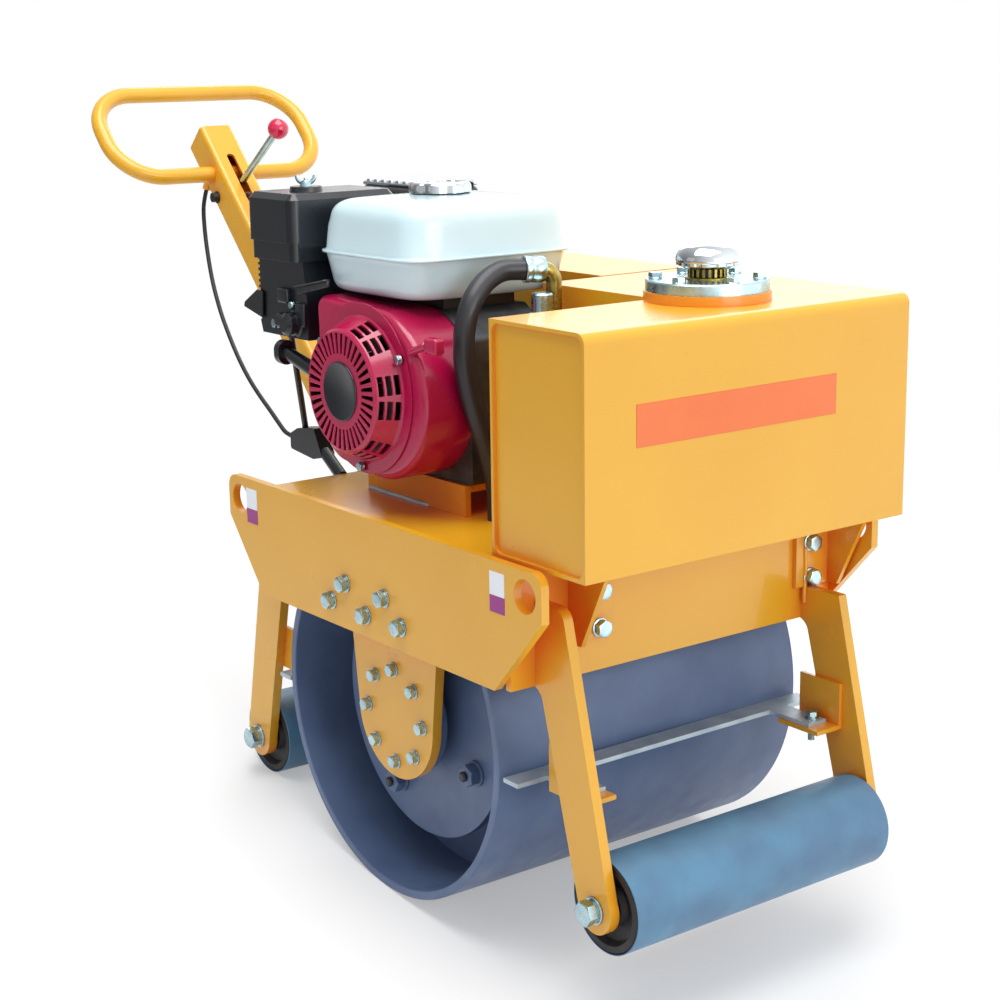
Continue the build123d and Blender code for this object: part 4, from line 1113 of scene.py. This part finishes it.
@dataclass
class FuelTank:
    """The engine's pressed fuel tank: two shells seamed at their lips, and its screw cap."""

    shop: Workshop
    middle: Pair = (-84.0, -66.0)
    half: Pair = (106.0, 118.0)
    seam: float = 730.0
    top: float = 64.0  # over the seam
    bottom: float = 47.0  # under it
    squareness: float = 5.5
    # height over the seam, inset and a factor on the squareness, round the two lips
    lips: tuple[Triple, ...] = (
        (-8.0, 4.0, 1.15), (-3.0, 3.2, 1.2), (-1.4, 2.0, 1.3), (-1.3, 0.4, 1.3), (-0.6, 0.0, 1.3),
        (0.8, 0.0, 1.3), (1.5, 0.5, 1.3), (1.7, 2.6, 1.25), (4.0, 3.4, 1.2), (30.0, 5.0, 1.1),
    )
    smooth_deg: float = 60.0
    cap_radius: float = 36.5
    cap_back: float = 7.0  # how far behind the tank's middle the cap stands
    lobe_count: int = 8
    lobe_depth: float = 0.08  # as a share of the radius
    segments: int = 128

    def build(self) -> None:
        """Makes the tank and its cap."""
        low, top = -self.bottom, self.top
        under = arc_rows((18, low + 1.5), (9, low + 3), (7, low + 14))
        shoulder = arc_rows((6, top - 26), (8, top - 6), (30, top - 4), 12)
        rows = [
            (low, 40.0, 0.7), (low + 0.6, 22.0, 0.85),
            *((height, inset, 1.0) for inset, height in under),
            *self.lips,
            *((height, inset, 1.0) for inset, height in shoulder),
            (top - 1.6, 52.0, 0.8), (top - 0.3, 74.0, 0.6), (top, 88.0, 0.5),
        ]
        shell = rounded_rows((*self.middle, self.seam), self.half, rows, self.squareness, self.segments)
        self.shop.piece(
            "fuel_tank_shell", shell, WHITE_ENAMEL, replaces=("fuel_tank",), smooth_deg=self.smooth_deg
        )
        x, y = self.middle
        waves = (0.5 - 0.5 * np.cos(self.lobe_count * round_angles(self.segments))) ** 2
        rim = self.cap_radius
        profile = [
            (0.0, 0.0), (rim - 3, 0.0), (rim, 1.5), (rim, 8.0),
            *arc_rows((rim - 0.2, 9), (rim - 1, 13), (rim - 7, 13.6), 6),
            (rim - 10, 13.2), (rim - 11, 12.2), (rim - 18, 12.6), (0.0, 13.8),
        ]
        at = (x - self.cap_back, y, self.seam + top)
        cap = turned(profile, at, UP, self.segments, 1 - self.lobe_depth * waves)
        self.shop.piece("fuel_cap_shell", cap, CHROME, replaces=("fuel_cap",))


@dataclass
class StarterCover:
    """The starter cover's centre plate, bolts and lug, and the fan that shows through its slots."""

    shop: Workshop
    cover_face: float = 226.0
    plate_radius: float = 34.0
    flange_face: float = 198.2
    bolt_circle: float = 90.5
    bolts: tuple[Pair, ...] = ((28.0, 0.773), (150.0, 0.251), (268.0, 0.965))  # degrees, head's turn
    lug_stem: tuple[Triple, Triple] = ((28, -194, 634), (58, -194, 645))
    lug_stem_radius: float = 4.5
    lug_head: tuple[Triple, Triple, float] = ((68, -190, 645), (11, 7, 9), 3.5)  # as for a block
    fan_back: float = 199.0
    dish: Profile = ((0, 0), (73.3, 0), (73.3, 3), (66, 5), (18, 5), (14, 14), (0, 14))
    blade_count: int = 20
    # radius, degrees ahead of its foot and depth, at each corner of a blade
    blade: tuple[Triple, ...] = ((24, 0, 205), (63, 14, 205), (60, 14, 219), (28, 0, 217))
    blade_thick: float = 1.6
    blade_way_deg: float = 97.0  # direction of its thickness, ahead of its foot

    @staticmethod
    def round_crank(radius: float, degrees: float, y: float) -> Triple:
        """A point round the crank's axis, on the plane at y."""
        return upright(on_circle(CRANK, radius, (math.radians(degrees),)), y)[0]

    def build(self) -> None:
        """Makes the blank centre plate, the bolts and the lug beside them, then the fan."""
        x, z = CRANK
        rim = self.plate_radius
        edge = arc_rows((rim, 0.4), (rim, 1.8), (rim - 1.5, 1.9), 4)
        profile = [(0, 0), (rim - 1, 0), *edge, (rim - 2.5, 1.3), (0, 1.3)]
        plate = turned(profile, (x, -self.cover_face, z), RIGHT, 64)
        self.shop.piece("cover_centre_plate", plate, BLACK_PLASTIC)
        bolts = [
            M6.flanged(self.round_crank(self.bolt_circle, angle, -self.flange_face), RIGHT, turn)
            for angle, turn in self.bolts
        ]
        self.shop.piece("cover_bolts", bolts, ZINC)
        stem = straight_rod(*self.lug_stem, self.lug_stem_radius)
        self.shop.piece("shroud_lug", [stem, rounded_block(*self.lug_head)], CRIMSON_ENAMEL)
        self.fan()

    def fan(self) -> None:
        """Makes the flywheel's fan behind the cover: a dish that carries twisted blades."""
        x, z = CRANK
        surfaces = [turned(self.dish, (x, -self.fan_back, z), RIGHT, 64)]
        for foot in np.degrees(round_angles(self.blade_count)).tolist():
            outline = [self.round_crank(radius, foot + turn, -depth) for radius, turn, depth in self.blade]
            thick = self.round_crank(self.blade_thick, foot + self.blade_way_deg, 0.0)
            surfaces.append(slab(outline, np.subtract(thick, (x, 0, z))))
        # black, so that the cover's slots stay dark: painted shade for the inside of the cover
        self.shop.piece("flywheel_fan", surfaces, BLACK_ENAMEL, slot="black_plastic")


@dataclass
class CleanerNut:
    """The wing nut that holds the air cleaner's lid."""

    shop: Workshop
    place: Triple = (-239.0, -157.0, 800.0)
    boss: Profile = ((0, 0), (7.5, 0), (7, 1.5), (5.5, 6), (4.8, 7), (0, 7))
    stud: Triple = (6.0, 10.0, 2.4)  # from one height to the other, and its radius
    way: Pair = (0.6, 0.8)  # where the wings point
    wing: Pair = (1.2, 2.4)  # half its thickness, and its width over that
    taper: float = 0.25  # how much smaller a wing's tip is than its root

    def build(self) -> None:
        """Makes two wings that sweep up and out from their boss, 4 + 7t + 1.6*sin(pi*t) aside and
        4 + 9*t^1.4 up, and the stud between them."""
        x, y, z = self.place
        low, high, radius = self.stud
        stud = straight_rod((x, y, z + low), (x, y, z + high), radius)
        share = np.linspace(0, 1, 14)
        out, rise = 4 + 7 * share + 1.6 * np.sin(np.pi * share), 4 + 9 * share**1.4
        way_x, way_y = self.way
        wings = []
        for side in (-1, 1):
            path = np.stack([x + side * out * way_x, y + side * out * way_y, z + rise], axis=1)
            section = round_section(*self.wing)
            wings.append(carried(path, section, (way_y, -way_x, 0), 1 - self.taper * share))
        boss = turned(self.boss, self.place, UP)
        self.shop.piece("cleaner_wing_nut", [boss, stud, *wings], ZINC)


@dataclass
class CarburettorDress:
    """The choke lever, the carburettor's bowl and screws, and the throttle's arm."""

    shop: Workshop
    choke_face: float = 190.0
    choke_low: tuple[Pair, Pair] = ((-208, 676), (-140, 691))
    choke_high: tuple[Pair, Pair] = ((-208, 685), (-140, 698))
    choke_thick: float = 4.0
    choke_fold: Pair = (9.0, 2.0)  # its reach and its thickness
    idle_screw: Profile = ((0, 0), (5, 0), (5, 3), (4, 4.5), (0, 4.5))
    idle_screw_place: Triple = (-226, -189, 662)
    mixture_screw_place: Triple = (-262, -189, 637)
    mixture_screw_turn: float = 0.4
    bowl: Profile = ((0, 0), (17, 0), (17, 3), (14, 5), (14, 16), (9, 20), (0, 20))
    bowl_place: Triple = (-222, -186, 640)
    plug: Profile = ((0, 0), (9, 0), (9, 8), (6, 11), (0, 11))
    plug_place: Triple = (-249, -188, 642)
    # middle, half size and radius of the edges
    blocks: tuple[tuple[Triple, Triple, float], ...] = (
        ((-243, -190, 672), (12, 5, 9), 3.0), ((-205, -190, 652), (10, 4, 14), 2.5),
    )
    arm_face: float = 189.0
    arm: tuple[Pair, ...] = ((-296, 640), (-340, 650), (-338, 656), (-306, 674), (-294, 672))
    arm_thick: float = 3.0

    def build(self) -> None:
        """Makes the pieces on the carburettor's right side."""
        low, high = upright(self.choke_low, -self.choke_face), upright(self.choke_high, -self.choke_face)
        reach, thick = self.choke_fold
        folded = upright(self.choke_high, -self.choke_face - reach)
        lever = slab([*low, *high[::-1]], (0, -self.choke_thick, 0))
        fold = slab([*high, *folded[::-1]], (0, 0, thick))
        self.shop.piece("choke_lever", [lever, fold], CAST_ALUMINIUM, bevel_mm=1.0)
        screws = [
            turned(self.idle_screw, self.idle_screw_place, RIGHT),
            M6.under_head(self.mixture_screw_place, RIGHT, self.mixture_screw_turn),
        ]
        self.shop.piece("carburettor_screws", screws, ZINC)
        bowl = [
            turned(self.bowl, self.bowl_place, RIGHT),
            turned(self.plug, self.plug_place, RIGHT),
            *(rounded_block(*block) for block in self.blocks),
        ]
        self.shop.piece("carburettor_bowl", bowl, BLACK_PLASTIC)
        arm = slab(upright(self.arm, -self.arm_face), (0, -self.arm_thick, 0))
        self.shop.piece("throttle_arm", arm, BLACK_ENAMEL, bevel_mm=0.8)


@dataclass
class CylinderFins:
    """The cylinder's cooling fins, across its axis, which leans back from the crank."""

    shop: Workshop
    count: int = 8
    # from the crank, the foot and the top of the first fin and of the last
    feet: tuple[Pair, Pair] = ((-84, 14), (-176, 40))
    tops: tuple[Pair, Pair] = ((-62, 96), (-170, 112))
    sides: Pair = (27.0, -74.0)
    thick: Triple = (-3.0, 0.0, 0.9)

    def spread(self, ends: tuple[Pair, Pair]) -> list[Pair]:
        """Places from the first to the last, at even steps, counted from the crank."""
        first, last = np.asarray(ends, float)
        return (CRANK + np.linspace(first, last, self.count)).tolist()

    def build(self) -> None:
        """Makes the fins."""
        near, far = self.sides
        fins = [
            slab([*upright((foot, top), near), *upright((top, foot), far)], self.thick)
            for foot, top in zip(self.spread(self.feet), self.spread(self.tops))
        ]
        self.shop.piece("cylinder_fins", fins, CAST_ALUMINIUM, bevel_mm=0.8)


@dataclass
class ExhaustGuard:
    """The slotted heat guard over the silencer: bars with air between them, on two rails."""

    shop: Workshop
    count: int = 7
    pitch: float = 16.0
    first: Triple = (-296, 14, 797)
    bar: tuple[Triple, float] = ((4.5, 46, 3.0), 2.2)  # half size and radius of the edges
    rail_places: tuple[Triple, ...] = ((-248, -30, 794.5), (-248, 58, 794.5))
    rail: tuple[Triple, float] = ((58, 3.5, 2.5), 1.8)

    def build(self) -> None:
        """Makes the bars and the rails as one piece."""
        x, y, z = self.first
        bars = [rounded_block((x + n * self.pitch, y, z), *self.bar) for n in range(self.count)]
        rails = [rounded_block(place, *self.rail) for place in self.rail_places]
        self.shop.piece("silencer_guard", [*bars, *rails], CHROME)


@dataclass
class Controls:
    """The shift lever's knob and the bolt that it turns on."""

    shop: Workshop
    knob: Triple = (-566.0, 0.0, 854.0)
    knob_radius: float = 14.3
    pivot: Triple = (-701.0, -25.0, 756.0)
    pivot_turn: float = 0.7

    def build(self) -> None:
        """Makes the knob over the lever's tip, and the pivot's bolt."""
        self.shop.piece("lever_knob", ball(self.knob, self.knob_radius), RED_KNOB)
        self.shop.piece("lever_pivot_bolt", M8.under_head(self.pivot, RIGHT, self.pivot_turn), BLACK_ENAMEL)


@dataclass
class Lines:
    """The hydraulic hose's fittings and the control cable."""

    shop: Workshop
    cable_radius: float = 3.0
    cable_points: tuple[Triple, ...] = (
        (-736, -23, 765), (-739, -27, 748), (-736, -30, 726), (-719, -37, 688), (-692, -45, 640),
        (-658, -53, 601), (-624, -60, 572), (-586, -67, 543), (-546, -74, 519), (-507, -80, 501),
        (-470, -86, 487), (-436, -93, 475), (-403, -101, 466), (-376, -101, 466),
    )
    hose_start: tuple[Triple, Triple] = ((66, -64, 718), (58, -90, 719))  # its end and next point
    ferrule: Profile = (
        (0.0, -2.0), (14.4, -2.0), (15.0, -1.0), (15.0, 5.0), (14.3, 6.0), (14.3, 8.0), (15.0, 9.0),
        (15.0, 19.0), (13.6, 22.0), (0.0, 22.0),
    )
    stub: Profile = ((0, 0), (12, 0), (12, 20), (10.5, 22), (0, 22))
    stub_place: Triple = (91, -60, 672)
    stub_nut: Pair = (27.0, 9.0)  # across its flats, and its height
    stub_nut_place: Triple = (91, -60, 664)

    def nurbs(self, name: str, points: Sequence[Triple], radius: float) -> bpy.types.Object:
        """A round line on one smooth curve.

        Args:
            name: Its name.
            points: Its control points, in level millimetres.
            radius: Its radius in millimetres.

        Returns:
            The curve's object.
        """
        placed = self.shop.stance.place(points)
        curve = bpy.data.curves.new(name, "CURVE")
        curve.dimensions = "3D"
        spline = curve.splines.new("NURBS")
        spline.points.add(len(placed) - 1)
        spline.points.foreach_set("co", np.c_[placed, np.ones(len(placed))].ravel())
        spline.order_u = 3
        spline.use_endpoint_u = True
        spline.resolution_u = 12
        curve.bevel_depth = radius * MM
        curve.bevel_resolution = 6
        curve.use_fill_caps = True
        line = bpy.data.objects.new(name, curve)
        link(line)
        return line

    def fittings(self) -> None:
        """Makes the hose's crimped ferrule, its union nut and the pipe stub under the elbow."""
        start, following = (np.asarray(point, float) for point in self.hose_start)
        self.shop.piece("hose_ferrule", turned(self.ferrule, start, start - following), ZINC)
        stub = [turned(self.stub, self.stub_place, UP), hexagon(*self.stub_nut, self.stub_nut_place, UP)]
        self.shop.piece("pressure_stub", stub, ZINC)

    def build(self) -> None:
        """Makes the control cable, which hangs free between the drawbar and the junction."""
        cable = self.nurbs("control_cable_line", self.cable_points, self.cable_radius)
        cable.data.materials.append(self.shop.material(RUBBER))
        self.shop.finish_piece(cable, Body.FRAME, RUBBER.slot, ("control_cable",))
        start = self.shop.stance.place(self.cable_points[0])
        self.fittings()


# ---- studio -----------------------------------------------------------------------------
@dataclass
class Studio:
    """Camera, soft lamps, pale floor and surroundings."""

    stance: Stance
    eye: Triple = (1751.6, -1359.8, 955.2)  # in level millimetres
    heading_deg: float = 53.3  # from +Y towards -X
    down_deg: float = 13.2
    roll_deg: float = -0.89
    lens_mm: float = 69.2
    sensor_mm: float = 36.0
    floor_near: float = 0.5  # metres from the machine's middle, where the floor starts to pale
    floor_far: float = 2.4  # and where it is white
    floor_glow: float = 0.35  # share of white in the floor near the machine
    floor_half: float = 30.0  # half its side, in metres
    floor_tone: tuple[float, float, float, float] = (0.85, 0.86, 0.87, 1.0)
    sheen_range: Pair = (0.3, 1.9)  # strength of what the machine mirrors
    sheen_way: Triple = (0.7, 0.7, 0.0)  # where that grows
    sheen_reach_m: float = 1.8
    world_light: float = 0.46  # strength of the surroundings as a light
    lamp_aim: Triple = (0.1, 0.0, 0.4)
    # name, place and side in metres, and power in watts
    lamps: tuple[tuple[str, Triple, float, float], ...] = (
        ("top_lamp", (0.2, -0.3, 3.4), 2.6, 116),
        ("front_lamp", (3.4, 0.1, 1.6), 2.0, 38),
        ("side_lamp", (-0.8, -3.4, 1.5), 2.0, 4),
        ("back_lamp", (-2.4, 2.4, 2.2), 2.5, 40),
    )

    def camera(self) -> None:
        """Sets the camera, which leans with the machine."""
        heading, down, roll = (math.radians(v) for v in (self.heading_deg, self.down_deg, self.roll_deg))
        forward = np.array(
            [-math.sin(heading) * math.cos(down), math.cos(heading) * math.cos(down), -math.sin(down)]
        )
        right = unit(np.cross(forward, UP))
        up = np.cross(right, forward)
        rolled_right = right * math.cos(roll) + up * math.sin(roll)
        rolled_up = up * math.cos(roll) - right * math.sin(roll)
        columns = self.stance.turned(np.stack([rolled_right, rolled_up, -forward]))
        data = bpy.data.cameras.new("camera")
        data.lens, data.sensor_width = self.lens_mm, self.sensor_mm
        camera = bpy.data.objects.new("camera", data)
        turn = Matrix(columns.T.tolist()).to_4x4()
        camera.matrix_world = Matrix.Translation(Vector(self.stance.place(self.eye))) @ turn
        link(camera)
        bpy.context.scene.camera = camera

    def lamp(self, name: str, at: Triple, size: float, power: float) -> None:
        """A square soft box aimed at the machine's middle.

        Args:
            name: Its name.
            at: Its place, in metres.
            size: Its side, in metres.
            power: Its power, in watts.
        """
        data = bpy.data.lights.new(name, "AREA")
        data.shape, data.size, data.energy = "SQUARE", size, power
        lamp = bpy.data.objects.new(name, data)
        lamp.location = at
        way = Vector(self.lamp_aim) - Vector(at)
        lamp.rotation_euler = way.to_track_quat("-Z", "Y").to_euler()
        link(lamp)

    @staticmethod
    def seen(tree: Tree) -> Socket:
        """1 for what the camera sees and what is mirrored, 0 for light.

        Args:
            tree: The node tree.

        Returns:
            The value.
        """
        path = add_node(tree, "ShaderNodeLightPath").outputs
        return add_node(
            tree, "ShaderNodeMath", operation="MAXIMUM", _0=path["Is Camera Ray"], _1=path["Is Glossy Ray"]
        ).outputs[0]

    def sheen(self, tree: Tree, place: Socket, reach: float) -> Socket:
        """How white the surroundings are: 1 for the camera, and for reflections brighter before the
        machine's front left than behind its rear right.

        Args:
            tree: The node tree.
            place: A place or a direction.
            reach: How far along the diagonal the change runs.

        Returns:
            The strength.
        """
        diagonal = add_node(
            tree, "ShaderNodeVectorMath", operation="DOT_PRODUCT", _0=place, _1=self.sheen_way
        ).outputs["Value"]
        low, high = self.sheen_range
        mirrored = add_node(
            tree, "ShaderNodeMapRange", Value=diagonal, From_Min=-reach, From_Max=reach,
            To_Min=low, To_Max=high,
        ).outputs["Result"]
        camera = add_node(tree, "ShaderNodeLightPath").outputs["Is Camera Ray"]
        strength = add_node(tree, "ShaderNodeMapRange", Value=camera, To_Min=mirrored, To_Max=1.0)
        return strength.outputs["Result"]

    def floor(self) -> None:
        """A pale floor with the machine's shadow."""
        mesh = bpy.data.meshes.new("floor")
        half = self.floor_half
        corners = [(-half, -half, 0), (half, -half, 0), (half, half, 0), (-half, half, 0)]
        mesh.from_pydata(corners, [], [(0, 1, 2, 3)])
        material = bpy.data.materials.new("painted_studio_floor")
        material.use_nodes = True
        tree = material.node_tree
        tree.nodes.clear()
        diffuse = add_node(tree, "ShaderNodeBsdfDiffuse", Color=self.floor_tone)
        place = add_node(tree, "ShaderNodeTexCoord").outputs["Object"]
        strength = self.sheen(tree, place, self.sheen_reach_m)
        glow = add_node(tree, "ShaderNodeEmission", Color=(1, 1, 1, 1), Strength=strength)
        reach_out = add_node(tree, "ShaderNodeVectorMath", operation="LENGTH", _0=place).outputs["Value"]
        far = add_node(
            tree, "ShaderNodeMapRange", interpolation_type="SMOOTHSTEP", Value=reach_out,
            From_Min=self.floor_near, From_Max=self.floor_far, To_Min=self.floor_glow, To_Max=1.0,
        ).outputs["Result"]
        share = add_node(tree, "ShaderNodeMath", operation="MULTIPLY", _0=self.seen(tree), _1=far)
        mixed = add_node(
            tree, "ShaderNodeMixShader", _0=share.outputs[0], _1=diffuse.outputs[0], _2=glow.outputs[0]
        )
        add_node(tree, "ShaderNodeOutputMaterial", Surface=mixed.outputs[0])
        mesh.materials.append(material)
        floor = bpy.data.objects.new("floor", mesh)
        link(floor)

    def surroundings(self) -> None:
        """A white world for the camera and for reflections, dimmer as a light."""
        world = bpy.data.worlds.new("studio")
        bpy.context.scene.world = world
        world.use_nodes = True
        tree = world.node_tree
        way = add_node(tree, "ShaderNodeTexCoord").outputs["Generated"]
        strength = add_node(
            tree, "ShaderNodeMapRange", Value=self.seen(tree), To_Min=self.world_light,
            To_Max=self.sheen(tree, way, 1.0),
        )
        background = tree.nodes["Background"]
        background.inputs["Color"].default_value = (1, 1, 1, 1)
        tree.links.new(strength.outputs["Result"], background.inputs["Strength"])

    def build(self) -> None:
        """Makes the whole studio."""
        self.camera()
        self.floor()
        self.surroundings()
        for lamp in self.lamps:
            self.lamp(*lamp)
        bpy.context.scene.view_settings.view_transform = "Standard"


# ---- the machine ------------------------------------------------------------------------
NODE_FINISHES: dict[Finish, tuple[str, ...]] = {
    YELLOW_ENAMEL: (
        "side_plate_right", "side_plate_left", "deck", "front_cross_plate", "rear_cross_plate",
        "front_leg_right", "front_leg_left", "rear_leg_right", "rear_leg_left", "tank_brackets",
        "hanger_right", "hanger_left", "scraper_brackets", "water_tank", "filler_neck",
        "belt_guard", "handle_loop", "drawbar", "handle_bracket", "engine_base",
    ),
    GREY_ENAMEL: ("drum", "drum_webs", "hub_plate_right", "hub_plate_left", "axle_tube"),
    ROLLER_ENAMEL: ("front_roller", "rear_roller"),
    RUBBER: ("rubber_buffers", "front_roller_ends", "rear_roller_ends", "tank_rails"),
    HOSE_RUBBER: ("hydraulic_hose",),
    ZINC: ("front_axle", "rear_axle", "output_shaft", "filler_flange", "shift_lever"),
    GALVANISED: ("front_scraper", "rear_scraper"),
    CHROME: ("breather_cap", "fuel_cap"),
    CRIMSON_ENAMEL: ("fan_shroud", "recoil_starter"),
    WHITE_ENAMEL: ("fuel_tank",),
    BLACK_ENAMEL: ("tank_saddle", "muffler", "throttle_rod"),
    BLACK_PLASTIC: ("air_cleaner", "starter_grip", "cable_junction", "carburettor"),
    CAST_ALUMINIUM: ("crankcase", "cylinder_head", "hydraulic_pump"),
    YELLOW_ZINC: ("hose_fitting",),
}


def main() -> None:
    """Builds the machine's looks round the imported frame."""
    logging.basicConfig(level=logging.INFO, format="%(name)s: %(message)s")
    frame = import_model()
    stance = Stance.from_frame(frame)
    shop = Workshop(frame, stance)
    for finish, nodes in NODE_FINISHES.items():
        for node in nodes:
            shop.dress_node(node, finish)
    assemblies = (
        Studio(stance), Lines(shop), FrameHardware(shop), DrumHardware(shop), RollerRims(shop),
        TankDress(shop), FuelTank(shop), StarterCover(shop), CleanerNut(shop), CarburettorDress(shop),
        CylinderFins(shop), ExhaustGuard(shop), Controls(shop),
    )
    for assembly in assemblies:
        assembly.build()
        LOG.info("built %s", type(assembly).__name__)


if __name__ == "__main__":
    main()
